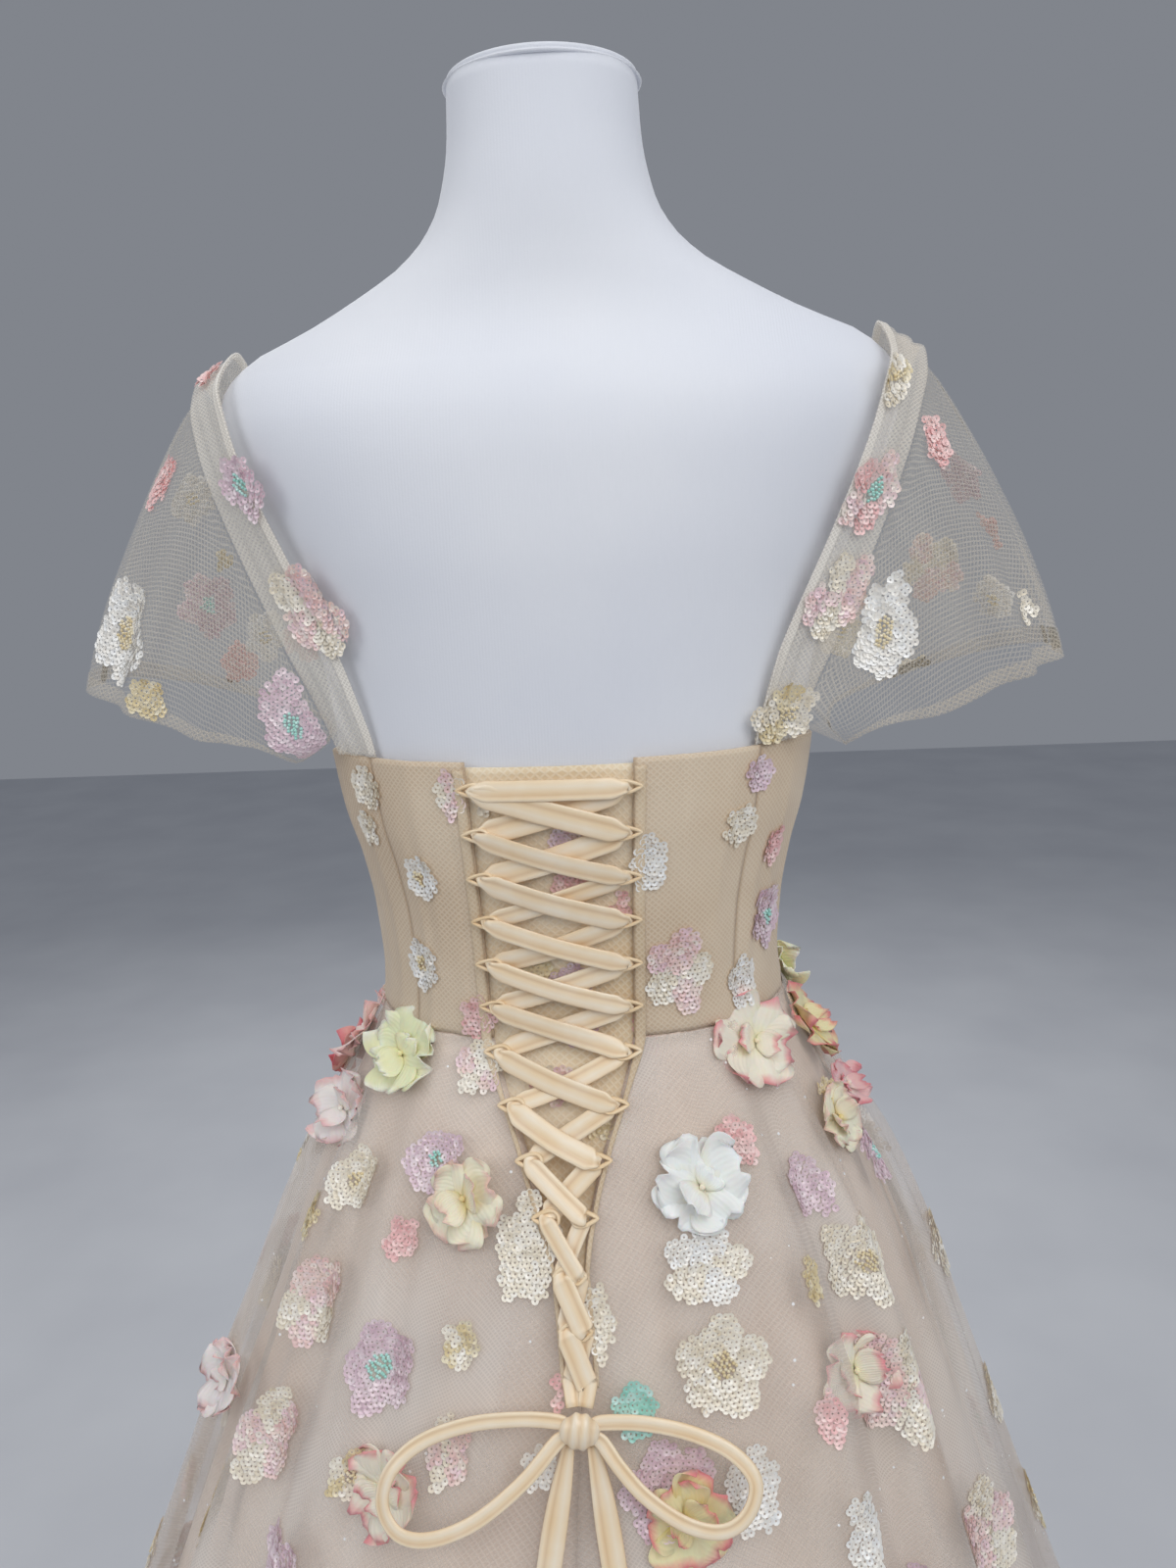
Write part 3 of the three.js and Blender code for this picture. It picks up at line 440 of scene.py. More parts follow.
# the colour inputs of a mix are its sixth and seventh, and the mixed colour is its output 2
def addMix(tree, share, first, second):
    return addNode(tree, "Mix", {"data_type": "RGBA", 0: share, 6: first, 7: second}, 2)


def addRange(tree, value, start=(0.0, 1.0), end=(0.0, 1.0)):
    return addNode(tree, "MapRange", {"Value": value, "From Min": start[0], "From Max": start[1],
                                      "To Min": end[0], "To Max": end[1]})


def addAttribute(tree, name):
    return addNode(tree, "Attribute", {"attribute_name": name}, "Fac")


# sockets are the shader's inputs, with _ for a space
def startMaterial(name, **sockets):
    material = bpy.data.materials.new(name)
    material.use_nodes = True
    tree = material.node_tree
    shader = tree.nodes["Principled BSDF"]
    for key, value in sockets.items():
        shader.inputs[key.replace("_", " ")].default_value = value
    return material, tree, shader


def placeOn(tree):
    return addNode(tree, "TexCoord", output="Object")


# colour for the shader, and bumps a distance in millimetres high
def addSurface(tree, shader, colour, height, distance, strength):
    tree.links.new(colour, shader.inputs["Base Color"])
    bumps = addNode(tree, "Bump", {"Distance": distance * mm, "Strength": strength, "Height": height})
    tree.links.new(bumps, shader.inputs["Normal"])


waveScale = 2 * math.pi / 20  # a wave texture of this scale repeats once a unit
netTurns = (44, -46)


# crossing threads of a net, 1 on a thread and 0 in a hole; a real mesh is about 1.2 mm and these pitches
# are 1.6 to 3.2 mm, so that the threads show
def netThreads(tree, pitch, thin=0.55):
    uv = addNode(tree, "UVMap", {"uv_map": "UVMap"})
    waves = []
    for turn in netTurns:
        laid = addNode(tree, "Mapping", {"Rotation": (0, 0, turn * degree), "Vector": uv})
        waves.append(addNode(tree, "TexWave", {"Scale": waveScale / (pitch / 10), "Vector": laid}, "Fac"))
    return addRange(tree, addMath(tree, "MAXIMUM", *waves), (thin, 1.0))


# warp-knitted jersey, stretched over padding: matt, cool white, with the finest upright ribs
def makeJersey():
    material, tree, shader = startMaterial("stretchedJersey", Roughness=0.82, Sheen_Weight=0.25,
                                           Sheen_Roughness=0.4)
    place = placeOn(tree)
    colour = addRamp(tree, addNoise(tree, place, 6.0, 3.0), (0.3, 0.7), ("#E3E6EE", "#ECEEF3"))
    # ribs 1.6 mm apart, twice the real ones
    ribs = addNode(tree, "TexWave", {"Scale": waveScale / 0.0016, "Distortion": 0.6, "Vector": place}, "Fac")
    height = addMath(tree, "MULTIPLY_ADD", ribs, 0.5, addNoise(tree, place, 900.0, 2.0))
    addSurface(tree, shader, colour, height, 0.12, 0.5)
    return material


# sheer net drawn over a cloth and worked as one with it: warm, matt, darker along its seams
def makeNettedCloth(name, tones, netColour, seamColour, pitch=2.3, seamShare=0.4, **sockets):
    material, tree, shader = startMaterial(name, **sockets)
    base = addRamp(tree, addNoise(tree, placeOn(tree), 14.0, 4.0), (0.32, 0.5, 0.7), tones)
    threads = netThreads(tree, pitch)
    netted = addMix(tree, addMath(tree, "MULTIPLY", threads, 0.4), base, linear(netColour))
    nearSeam = addRange(tree, addAttribute(tree, "edge"), (0.3, 2.6), (seamShare, 0.0))
    addSurface(tree, shader, addMix(tree, nearSeam, netted, linear(seamColour)), threads, 0.25, 0.5)
    return material


# bobbin net by itself: see-through between its threads, closer where glitter is glued to it
def makeNet(name, tones, pitch, hole, thread, glitter=0.0, veiled=False):
    material, tree, shader = startMaterial(name, Roughness=0.75, Sheen_Weight=0.3)
    place = placeOn(tree)
    base = addRamp(tree, addNoise(tree, place, 9.0, 3.0), (0.35, 0.65), tones)
    alpha = addRange(tree, netThreads(tree, pitch, 0.6), end=(hole, thread))
    if veiled:  # soft upright drifts where the net lies doubled in its gathers
        drawn = addNode(tree, "Mapping", {"Scale": (1.0, 1.0, 0.22), "Vector": place})
        closer = addRange(tree, addNoise(tree, drawn, 15.0, 3.0), (0.38, 0.66), (0.45, 1.75))
        alpha = addMath(tree, "MULTIPLY", alpha, closer)
    if glitter:
        near = addNode(tree, "TexVoronoi", {"Scale": 1000 / 9.0, "Vector": place}, "Distance")  # 9 mm apart
        chance = addNode(tree, "SeparateColor", {"Color": near.node.outputs["Color"]}, "Red")
        dot = addMath(tree, "MULTIPLY", addMath(tree, "LESS_THAN", near, glitter),
                      addMath(tree, "GREATER_THAN", chance, 0.72))
        alpha = addMath(tree, "MAXIMUM", alpha, dot)
        base = addMix(tree, dot, base, linear("#FFFFFF"))
        tree.links.new(addRange(tree, dot, end=(0.75, 0.3)), shader.inputs["Roughness"])
    tree.links.new(base, shader.inputs["Base Color"])
    tree.links.new(alpha, shader.inputs["Alpha"])
    return material


# tones round a folded ribbon, painted light and shade: painted highlights on its ridges, painted shade at its
# edges, in its groove and on the face below
paintedFoldLightPlaces = (0.0, 0.06, 0.13, 0.184, 0.23, 0.31, 0.4, 0.5, 0.75)
paintedFoldLightTones = ("#E0B98A", "#FFEFD4", "#FDE6C2", "#DDB483", "#F8DCB2", "#FFF4E0", "#FBE3BE", "#DDB382",
             "#E0B988")


# polyester satin, woven with long floats: a soft bright band of gloss along each strand; when folded is set,
# half its colour is painted highlight on the ribbon's ridges and painted shade at its edges, in its groove
# and underneath
def makeSatin(name, tones, folded=False):
    material, tree, shader = startMaterial(name, Roughness=0.24, Specular_IOR_Level=0.7, Sheen_Weight=0.2)
    colour = addRamp(tree, addNoise(tree, placeOn(tree), 60.0, 2.0), (0.3, 0.55, 0.75), tones)
    uv = addNode(tree, "UVMap", {"uv_map": "UVMap"})
    drawn = addNode(tree, "Mapping", {"Scale": (1.0, 0.06, 1.0), "Vector": uv})
    floats = addNoise(tree, drawn, 22.0, 2.0)
    if folded:
        # half the colour is painted highlight and painted shade, set by the place round the ribbon's section
        colour = addMix(tree, 0.5, colour, addRamp(tree, addAttribute(tree, "share"), paintedFoldLightPlaces, paintedFoldLightTones))
    addSurface(tree, shader, colour, floats, 0.15, 0.4)
    return material


# dipped and heat-curled petal cloth: matt, paler in the heart, tinted towards the rim, finely veined
def makePetal(name, heart, body, rim):
    material, tree, shader = startMaterial(name, Roughness=0.6, Sheen_Weight=0.2, Subsurface_Weight=0.15,
                                           Subsurface_Scale=0.002)
    cloud = addNoise(tree, placeOn(tree), 90.0, 3.0)
    mottled = addMath(tree, "MULTIPLY_ADD", cloud, 0.36, -0.18)
    level = addMath(tree, "ADD", addAttribute(tree, "reach"), mottled)
    colour = addRamp(tree, level, (0.05, 0.4, 0.72, 1.0), (heart, body, body, rim))
    veins = addMath(tree, "SINE", addMath(tree, "MULTIPLY", addAttribute(tree, "share"), 90.0))
    addSurface(tree, shader, colour, addMath(tree, "MULTIPLY_ADD", veins, 0.3, cloud), 0.4, 0.5)
    return material


# vacuum-coated plastic sequins: pearly, each one a little another tint of its batch
def makeSequin(name, *tones):
    material, tree, shader = startMaterial(name, Metallic=0.05, Roughness=0.32, Coat_Weight=0.4,
                                           Coat_Roughness=0.12)
    places = [i / (len(tones) - 1) * 0.9 + 0.05 for i in range(len(tones))]
    colour = addRamp(tree, addAttribute(tree, "shade"), places, tones)
    tree.links.new(colour, shader.inputs["Base Color"])
    return material


# brushed steel tube and powder-coated plate of the stand
def makeStandMetal(name, tones, metallic, roughness):
    material, tree, shader = startMaterial(name, Metallic=metallic, Roughness=roughness)
    grain = addNoise(tree, placeOn(tree), 500.0, 2.0)
    addSurface(tree, shader, addRamp(tree, grain, (0.3, 0.7), tones), grain, 0.05, 0.4)
    return material


jersey = makeJersey()
bodiceCloth = makeNettedCloth("netOverCreamLining", ("#CDB496", "#D9C2A5", "#E2CFB5"), "#F1E5D1", "#AD8C68",
                              Roughness=0.72, Sheen_Weight=0.2)
edgeCloth = makeNettedCloth("foldedEdgeCloth", ("#CDB594", "#DAC3A2", "#E4D0B2"), "#EFE2CB", "#B8966C",
                            seamShare=0.12, Roughness=0.72, Sheen_Weight=0.2)
modestyCloth = makeNettedCloth("goldenCreamFaille", ("#E8CFA6", "#F1DEBC", "#F8E9CE"), "#FFF5E2", "#C49A68",
                               pitch=3.2, Roughness=0.6, Sheen_Weight=0.2)
liningSatin = makeNettedCloth("champagneSkirtLining", ("#DCC5B3", "#E6D2C1", "#EEDDCD"), "#F8ECE0", "#C4AC97",
                              pitch=2.6, seamShare=0.15, Roughness=0.5, Sheen_Weight=0.3)
skirtNet = makeNet("glitterTulle", ("#F3E9DE", "#FBF5EE"), 1.7, 0.20, 0.27, glitter=0.09, veiled=True)
sleeveNet = makeNet("ivoryTulle", ("#EADFCC", "#F4ECDC"), 2.5, 0.02, 0.2)
bandNet = makeNet("foldedIvoryTulle", ("#F2E8D8", "#FAF4E8"), 2.2, 0.2, 0.48)
hemNet = makeNet("doubledTulleHem", ("#E3D5BD", "#EFE4D0"), 2.4, 0.05, 0.26)
bindingCloth = makeNet("ivoryBinding", ("#EDE6DA", "#F6F1E8"), 1.6, 0.62, 0.86)
# the lace, tails, bow loops and knot share this satin, with painted highlights and painted shade round each
# ribbon
laceSatin = makeSatin("creamSatinLace", ("#F8DDB4", "#FCE7C6", "#FFF1DA"), folded=True)
cordSatin = makeSatin("creamSatinCord", ("#F0D0A0", "#F6DDB6", "#FCEACC"))
steel = makeStandMetal("brushedSteel", ("#AEB1B6", "#C2C4C8"), 0.95, 0.34)
plate = makeStandMetal("powderCoatedSteel", ("#DFE0E3", "#EBECEE"), 0.0, 0.5)
for nodeName, metal in (("form_pole", steel), ("form_base", plate)):
    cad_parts[nodeName].data.materials.clear()
    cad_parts[nodeName].data.materials.append(metal)
print("materials made")


# the lacing's two free ends: they leave the knot, part, and hang down the skirt
bowTails = {
    "left": {"startX": 5.5, "endX": 27, "phase": 1}, "right": {"startX": -6.5, "endX": -42, "phase": 2.5},
    "startRise": -175.1, "drop": 298, "steps": 16, "tied": 6, "width": 12.5, "thickness": 2.0}


def hangTail(side):
    tail = bowTails[side]
    stops = []
    for i in range(bowTails["steps"] + 1):
        a = i / bowTails["steps"]
        x = lerp(tail["startX"], tail["endX"], 1 - (1 - a) ** 2.2)
        rise = bowTails["startRise"] - bowTails["drop"] * a
        curl = 0.22 * math.sin(9 * a + tail["phase"]) * smooth(0.1, 0.4, a)
        normal = (lacingNormal(x, rise) + Vector((curl, 0, 0))).normalized()
        stops.append({"point": lacingPoint(x, rise, lerp(3, 1.8, smooth(0, 0.15, a))), "normal": normal,
                      "width": lerp(bowTails["tied"], bowTails["width"], smooth(0, 0.1, a)),
                      "thickness": bowTails["thickness"]})
    piece, points = ribbonAlong("ribbonTail." + side, stops, 72)
    finishPiece(piece, laceSatin, "satin_ribbon", "bow_tail_" + side)
    path = [tuple(p * mm) for p in points]
    length = sum((b - a).length for a, b in zip(points, points[1:])) * mm
    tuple(path[0])


for side in ("left", "right"):
    hangTail(side)
print("ribbon tails hung")


# the padded form under its stretched cover
def makeForm():
    bottom, top = formRows[0][0], formRows[-1][0]

    def place(u, v):
        return formPoint(2 * math.pi * u, lerp(bottom, top, v))

    piece = clothFrom("stretchedTorso", place, 96, 110, middle=bodyAxis, round=True, capped=True)
    finishPiece(piece, jersey, "form_jersey", "form_torso")


# the cover's disc over the neck, with a soft rolled rim
neckCap = {"radius": 50.5, "rim": 1.5, "height": 3, "setBack": 1, "rise": 498.3}


def makeNeckCap():
    r, h, rim = neckCap["radius"], neckCap["height"], neckCap["rim"]
    profile = [(0.3, -2), (r - 1.6, -2), (r - 0.4, 0.3), (r, h / 2), (r - 0.4, h - 0.3), (r - rim, h),
               (r - 5, h - 0.5), (r - 12, h - 0.2), (r * 0.4, h), (0.3, h)]

    def place(u, v):
        reach, height = through(profile, v)
        turn = 2 * math.pi * u
        return Vector((reach * math.sin(turn), reach * math.cos(turn) - neckCap["setBack"],
                       waistHeight + neckCap["rise"] + height))

    piece = clothFrom("neckCapDisc", place, 60, 24, round=True, capped=True)
    finishPiece(piece, jersey, "form_jersey", "form_neck_cap")


makeForm()
makeNeckCap()
print("form covered")


# adds up the soft folds that lie near a place: each has angle, rise, half width, half height and lift
def foldsAt(folds, angle, rise):
    turn = math.degrees(math.atan2(math.sin(angle), math.cos(angle)))
    total = 0.0
    for at, height, wide, tall, lift in folds:
        away = abs((turn - at + 180) % 360 - 180)
        if away < 3 * wide and abs(rise - height) < 2.5 * tall:
            total += lift * bell(away, 0, wide) * bell(rise, height, tall)
    return total


# a sewn panel on one of the gown's surfaces, between two edges and two rises
def panelOn(name, surface, edges, rises, grid, wall, raised):
    (left, right), (bottom, top) = edges, rises

    def place(u, v):
        rise = lerp(bottom, top(lerp(left(bottom), right(bottom), u)), v)
        rise = lerp(bottom, top(lerp(left(rise), right(rise), u)), v)
        angle = lerp(left(rise), right(rise), u)
        return surface(angle, rise, raised(angle, rise))

    return clothFrom(name, place, *grid, middle=bodyAxis, wall=wall)


# one edge of a panel, half the gap to one side of a seam
def seamAt(angle, shift):
    return lambda rise: angle + shift * halfGap / gownSide(rise)


# backLeft as back_left, the way the nodes are named
def apart(name):
    return "".join("_" + letter.lower() if letter.isupper() else letter for letter in name)


# net and lining drawn up together over boning, in soft upright folds that differ from side to side
bodice = {
    "folds": [
        (27, 40, 2.0, 55, 0.9), (33, 95, 2.4, 60, 1.1), (39, 40, 1.8, 60, 1.0), (55, 70, 2.6, 70, 1.3),
        (66, 110, 2.2, 45, 1.0), (74, 40, 2.6, 60, 1.2), (101, 80, 2.6, 70, 1.2), (116, 40, 2.4, 50, 1.0),
        (131, 90, 2.4, 60, 1.0), (-25, 70, 2.0, 60, 1.1), (-31, 30, 2.2, 40, 1.0), (-37, 100, 1.8, 55, 1.1),
        (-52, 50, 2.4, 60, 1.2), (-61, 105, 2.2, 50, 1.1), (-76, 60, 2.8, 70, 1.3), (-99, 90, 2.4, 60, 1.1),
        (-112, 40, 2.6, 50, 1.2), (-129, 70, 2.2, 60, 1.0), (158, 60, 3.0, 60, 1.0), (171, 110, 2.4, 40, 0.8),
        (-166, 50, 2.8, 60, 1.0), (-178, 60, 2.0, 60, 0.8)]}


def bodiceTopRise(angle):
    turn = turnFromBack(angle) / degree
    return bodiceTop - 5 * smooth(60, 95, turn) + 22 * bell(turn, 148, 24) - 10 * bell(turn, 180, 9)


def bodiceRelief(angle, rise):
    turn = turnFromBack(angle)
    fromEdge = (turn - abs(openingAngle(1, rise))) * waist["side"]
    clear = smooth(9, 22, fromEdge)
    drawn = 0.25 * math.sin(31 * angle + 1.6 * math.sin(rise / 45)) * math.sin(rise / 38 + 3 * angle)
    rolled = -1.3 * (1 - smooth(0, 5, rise))
    channel = -0.5 * bell(fromEdge, 11, 1.0)  # the stitched edge of the boning channel
    return clear * (0.75 * foldsAt(bodice["folds"], angle, rise) + drawn + 0.3) + channel + rolled


def makeBodice():
    back, side, princess = seams["back"], seams["side"], seams["princess"]
    panels = [("frontCentre", seamAt(princess, 1), seamAt(2 * math.pi - princess, -1), 64)]
    for name, sign in (("Left", 1), ("Right", -1)):
        panels += [
            ("back" + name, lambda rise, s=sign: openingAngle(s, rise), seamAt(sign * back, -sign), 36),
            ("sideBack" + name, seamAt(sign * back, sign), seamAt(sign * side, -sign), 38),
            ("frontSide" + name, seamAt(sign * side, sign), seamAt(sign * princess, -sign), 44)]
    for name, left, right, across in panels:
        piece = panelOn("bodicePanel." + name, bodicePoint, (left, right), (halfGap, bodiceTopRise),
                        (across, 54), bodiceWall, bodiceRelief)
        finishPiece(piece, bodiceCloth, "bodice_cloth", "bodice_" + apart(name))
        declareCloth(piece)


makeBodice()

# the panel behind the lace, tucked under both edges of the opening
modesty = {"bottom": -165, "top": 152, "under": (9, 19),
           "folds": [(-4, 100, 1.6, 30, 0.8), (5, 60, 2.2, 40, 0.9), (-9, 25, 2.0, 40, 1.0),
                     (10, 5, 1.6, 30, 0.8), (-3, -30, 2.2, 40, 0.9), (7, -60, 2.0, 30, 0.9),
                     (0, 130, 3.0, 9, 0.6)]}


def modestyPoint(angle, rise, height=0):
    if rise >= 0:
        return formPoint(angle, rise, clothGap + modestyWall + ease(rise) + height)
    return liningPoint(angle, rise, height - liningWall - clothGap - 0.15)


def makeModesty():
    def edge(sign):
        return lambda rise: openingAngle(sign, rise, lerp(*modesty["under"], smooth(slitEnd, 60, rise)))

    def relief(angle, rise):
        middle = openingAngle(0, rise)
        across = abs(angle - middle) / max(0.05, openingAngle(1, rise) - middle)
        return 0.5 * foldsAt(modesty["folds"], angle, rise) * (1 - smooth(0.7, 0.95, across))

    piece = panelOn("modestyPanel.behindLace", modestyPoint, (edge(-1), edge(1)),
                    (modesty["bottom"], lambda angle: modesty["top"]), (40, 84), modestyWall, relief)
    finishPiece(piece, modestyCloth, "bodice_cloth", "modesty_panel")
    declareCloth(piece)


makeModesty()
print("bodice and modesty panel made")

# gathered net over a plainer lining; the folds are set by the solids and the small creases are laid here
skirt = {
    "netWall": 0.4,
    "creases": [(24, -60, 1.2, 60, 1.6), (31, -150, 1.6, 80, 2.4), (52, -90, 1.6, 70, 2.2),
                (63, -180, 2.0, 90, 2.6), (84, -120, 1.8, 80, 2.2), (97, -240, 2.2, 110, 2.8),
                (118, -90, 1.6, 70, 2.0), (139, -200, 2.2, 100, 2.6), (161, -120, 1.8, 80, 2.2),
                (-27, -100, 1.4, 70, 1.8), (-41, -180, 1.8, 90, 2.6), (-58, -80, 1.5, 60, 2.0),
                (-72, -210, 2.0, 100, 2.6), (-93, -130, 1.8, 80, 2.2), (-109, -260, 2.2, 110, 2.8),
                (-133, -110, 1.8, 80, 2.2), (-152, -210, 2.0, 100, 2.4), (-174, -130, 1.8, 80, 2.0)]}


def netRelief(angle, rise):
    drop, turn = -rise, turnFromBack(angle)
    clear = lerp(smooth(21 * degree, 30 * degree, turn), smooth(12 * degree, 22 * degree, turn),
                 smooth(215, 320, drop))
    uneven = angle + 0.02 * math.sin(5 * angle + 1) + 0.008 * math.sin(17 * angle)
    gathers = (0.5 + 0.5 * math.sin(96 * uneven + drop / 60)) * 1.1 * smooth(0, 12, drop)
    gathers *= 1 - 0.75 * smooth(30, 170, drop)
    small = (0.5 + 0.5 * math.sin(53 * uneven - drop / 90)) * 1.8 * smooth(40, 260, drop)
    return clear * (gathers + small + foldsAt(skirt["creases"], angle, rise))


def liningRelief(angle, rise):
    drop = -rise
    uneven = angle + 0.03 * math.sin(4 * angle + 2)
    return -0.6 - 0.6 * math.sin(31 * uneven + drop / 150) * smooth(60, 300, drop)


def makeSkirt():
    # the slit's edges meet under the bow
    def slit(sign):
        return lambda rise: openingAngle(sign, rise, lerp(halfGap, -0.42, smooth(150, 168, -rise)))

    def waistEdge(angle):
        return -halfGap

    side, princess, whole = seams["side"], seams["princess"], 2 * math.pi
    backs = [("backLeft", slit(1), seamAt(side, -1)), ("backRight", slit(-1), seamAt(-side, 1))]
    lining = [(*back, 40) for back in backs]
    lining += [("sideLeft", seamAt(side, 1), seamAt(princess, -1), 28),
               ("front", seamAt(princess, 1), seamAt(whole - princess, -1), 36),
               ("sideRight", seamAt(whole - princess, 1), seamAt(whole - side, -1), 28)]
    net = [(*back, 130) for back in backs] + [("front", seamAt(side, 1), seamAt(whole - side, -1), 252)]
    for name, left, right, across in lining:
        piece = panelOn("liningPanel." + name, liningPoint, (left, right), (liningHemRise, waistEdge),
                        (across, 74), liningWall, liningRelief)
        finishPiece(piece, liningSatin, "skirt_lining", "skirt_lining_" + apart(name))
        declareCloth(piece)
    for name, left, right, across in net:
        piece = panelOn("netPanel." + name, netPoint, (left, right), (hemRise, waistEdge), (across, 88),
                        skirt["netWall"], netRelief)
        finishPiece(piece, skirtNet, "tulle_net", "skirt_net_" + apart(name))
        declareCloth(piece)


makeSkirt()
print("skirt made")

# net folded lengthwise round the top of the arm; rise, inner x and y, outer x and y, fall of the outer edge
bandRows = [
    (156, 99, 70, 122, 58, 0), (186, 108, 70, 134, 58, 0), (214, 118, 69, 147, 58, 0),
    (264, 141, 66, 168, 54, 0), (304, 158, 64, 182, 50, 1), (332, 168, 56, 190, 38, 5),
    (353, 175, 38, 196, 22, 10), (371, 175, 0, 199, -2, 14), (353, 176, -32, 196, -24, 10),
    (332, 170, -50, 190, -42, 5), (300, 158, -64, 182, -56, 1), (258, 138, -78, 168, -66, 0),
    (212, 118, -88, 149, -74, 0), (176, 104, -94, 134, -76, 2), (162, 100, -97, 127, -80, 9)]
band = {"folds": 2.6, "depth": 1.8, "half": 0.8, "clearance": 2.4, "wall": 1.2, "bindingWall": 1.0,
        "axis": (0.12, -0.02)}


def clearOfForm(point, clearance):
    rise = point.z - waistHeight
    side = column(formRows, 1, rise) + clearance
    depth = column(formRows, 2 if point.y > 0 else 3, rise) + clearance
    level = (abs(point.x) / side) ** roundness + (abs(point.y) / depth) ** roundness
    grow = level ** (-1 / roundness) if level < 1 else 1
    return Vector((point.x * grow, point.y * grow, point.z))


def bandEdges(v):
    rise, innerX, innerY, outerX, outerY, fall = through(bandRows, min(1, max(0, v)))
    return Vector((innerX, innerY, waistHeight + rise)), Vector((outerX, outerY, waistHeight + rise - fall))


def bandPoint(sign, u, v, height=0):
    inside, outside = bandEdges(v)
    along = (bandEdges(v + 0.02)[0] - bandEdges(v - 0.02)[0]).normalized()
    out = along.cross(outside - inside).normalized()
    drift = 0.05 * math.sin(7 * v + sign) + 0.03 * math.sin(19 * v + 2 * sign)
    step = (u * band["folds"] + drift * 2) % 1
    ridge = band["depth"] * smooth(0, 0.7, step) * (1 - smooth(0.86, 1, step))
    ridge *= 0.7 + 0.3 * math.sin(11 * v + 3 * u)
    middle = clearOfForm(inside.lerp(outside, u), band["clearance"])
    point = middle + out * (band["half"] + ridge + height)
    return Vector((sign * point.x, point.y, point.z))


# the sleeve's seam round the arm and its open cuff, point for point
sleeveRows = [
    (199.4, 0, 351.6, 276, 0, 194), (196.8, 24, 340, 268, 32, 192), (191, 40, 325, 250, 50, 186),
    (183.2, 51.6, 302, 224, 60, 177), (168.6, 55.6, 262, 196, 65, 167), (147.8, 59.6, 212, 168, 66, 162),
    (126, 64, 166, 152, 56, 152), (142, 34, 162, 155, 28, 146), (146, 0, 160, 157, -4, 144),
    (142, -34, 162, 156, -36, 146), (138, -76, 174, 164, -68, 154), (150.6, -75.4, 212, 188, -76, 164),
    (169.4, -67.2, 258, 216, -70, 174), (183.4, -57, 300, 242, -56, 184),
    (191.4, -43, 326, 262, -36, 191), (197, -25, 341, 273, -18, 194)]
sleeve = {"bulge": 9, "fullLength": 190, "armX": 185, "armY": -2, "gathers": 1.6, "flutes": 3.2,
          "wall": 0.4, "hemWall": 0.6, "axis": (0.205, 0)}


def sleevePoint(sign, u, v, height=0):
    row = through(sleeveRows, u % 1, closed=True)
    start, end = Vector(row[:3]), Vector(row[3:])
    point = start.lerp(end, v)
    away = Vector((point.x - sleeve["armX"], point.y - sleeve["armY"], 0)).normalized()
    long = (end - start).length / sleeve["fullLength"]
    around = 2 * math.pi * u
    uneven = around + 0.12 * math.sin(3 * around + sign) + 0.05 * math.sin(7 * around)
    gather = sleeve["gathers"] * (0.5 + 0.5 * math.sin(46 * uneven)) * smooth(0, 0.08, v)
    gather *= 1 - smooth(0.1, 0.75, v)
    flute = sleeve["flutes"] * math.sin(13 * uneven + 1.5 * v) * smooth(0.1, 0.9, v) * min(1, 1.3 * long)
    point += away * (sleeve["bulge"] * long * 4 * v * (1 - v) + height + (gather + flute) * min(1, 2 * long))
    return Vector((sign * point.x, point.y, point.z + waistHeight))


# the middle that a band or sleeve goes round, in metres out from the gown's middle and up
def armAxis(sign, out, up):
    return lambda point: Vector((sign * out, 0, point.z + up))


def makeShoulders():
    for name, sign in (("left", 1), ("right", -1)):
        bandAxis, sleeveAxis = armAxis(sign, *band["axis"]), armAxis(sign, *sleeve["axis"])
        piece = clothFrom("shoulderBand." + name, lambda u, v: bandPoint(sign, u, v), 28, 110,
                          middle=bandAxis, wall=band["wall"])
        finishPiece(piece, bandNet, "tulle_net", "shoulder_band_" + name)
        declareCloth(piece)
        binding = clothFrom("bandBinding." + name, lambda u, v: bandPoint(sign, -0.02 + 0.15 * u, v, 0.9),
                            6, 110, middle=bandAxis, wall=band["bindingWall"])
        finishPiece(binding, bindingCloth, "tulle_net")
        piece = clothFrom("bellSleeve." + name, lambda u, v: sleevePoint(sign, u, v), 160, 30,
                          middle=sleeveAxis, round=True, wall=sleeve["wall"])
        finishPiece(piece, sleeveNet, "tulle_net", "sleeve_" + name)
        declareCloth(piece)
        hem = clothFrom("sleeveHem." + name, lambda u, v: sleevePoint(sign, u, 0.935 + 0.066 * v, 0.5),
                        160, 4, middle=sleeveAxis, round=True, wall=sleeve["hemWall"])
        finishPiece(hem, hemNet, "tulle_net")


makeShoulders()
print("bands and sleeves made")

# one satin ribbon laced through thin loops on both edges; heights are over the bodice
lacing = {"width": 12, "narrow": 10.5, "bunched": 5.5, "thickness": 1.6, "turnThickness": 2.4, "levels": 13,
          "pitch": 24.3, "firstRise": 141, "under": 1.7, "turn": 3.1, "over": 4.7, "ringReach": 6.6,
          "ringTall": 4, "ringCord": 1.0, "tapeWidth": 6, "tapeNearest": 7.2, "tapeWall": 0.8}


def levelRise(level):
    return lacing["firstRise"] - lacing["pitch"] * level


def turnReach(level):
    return max(openingHalf(levelRise(level)) - 3.5, 4.6)


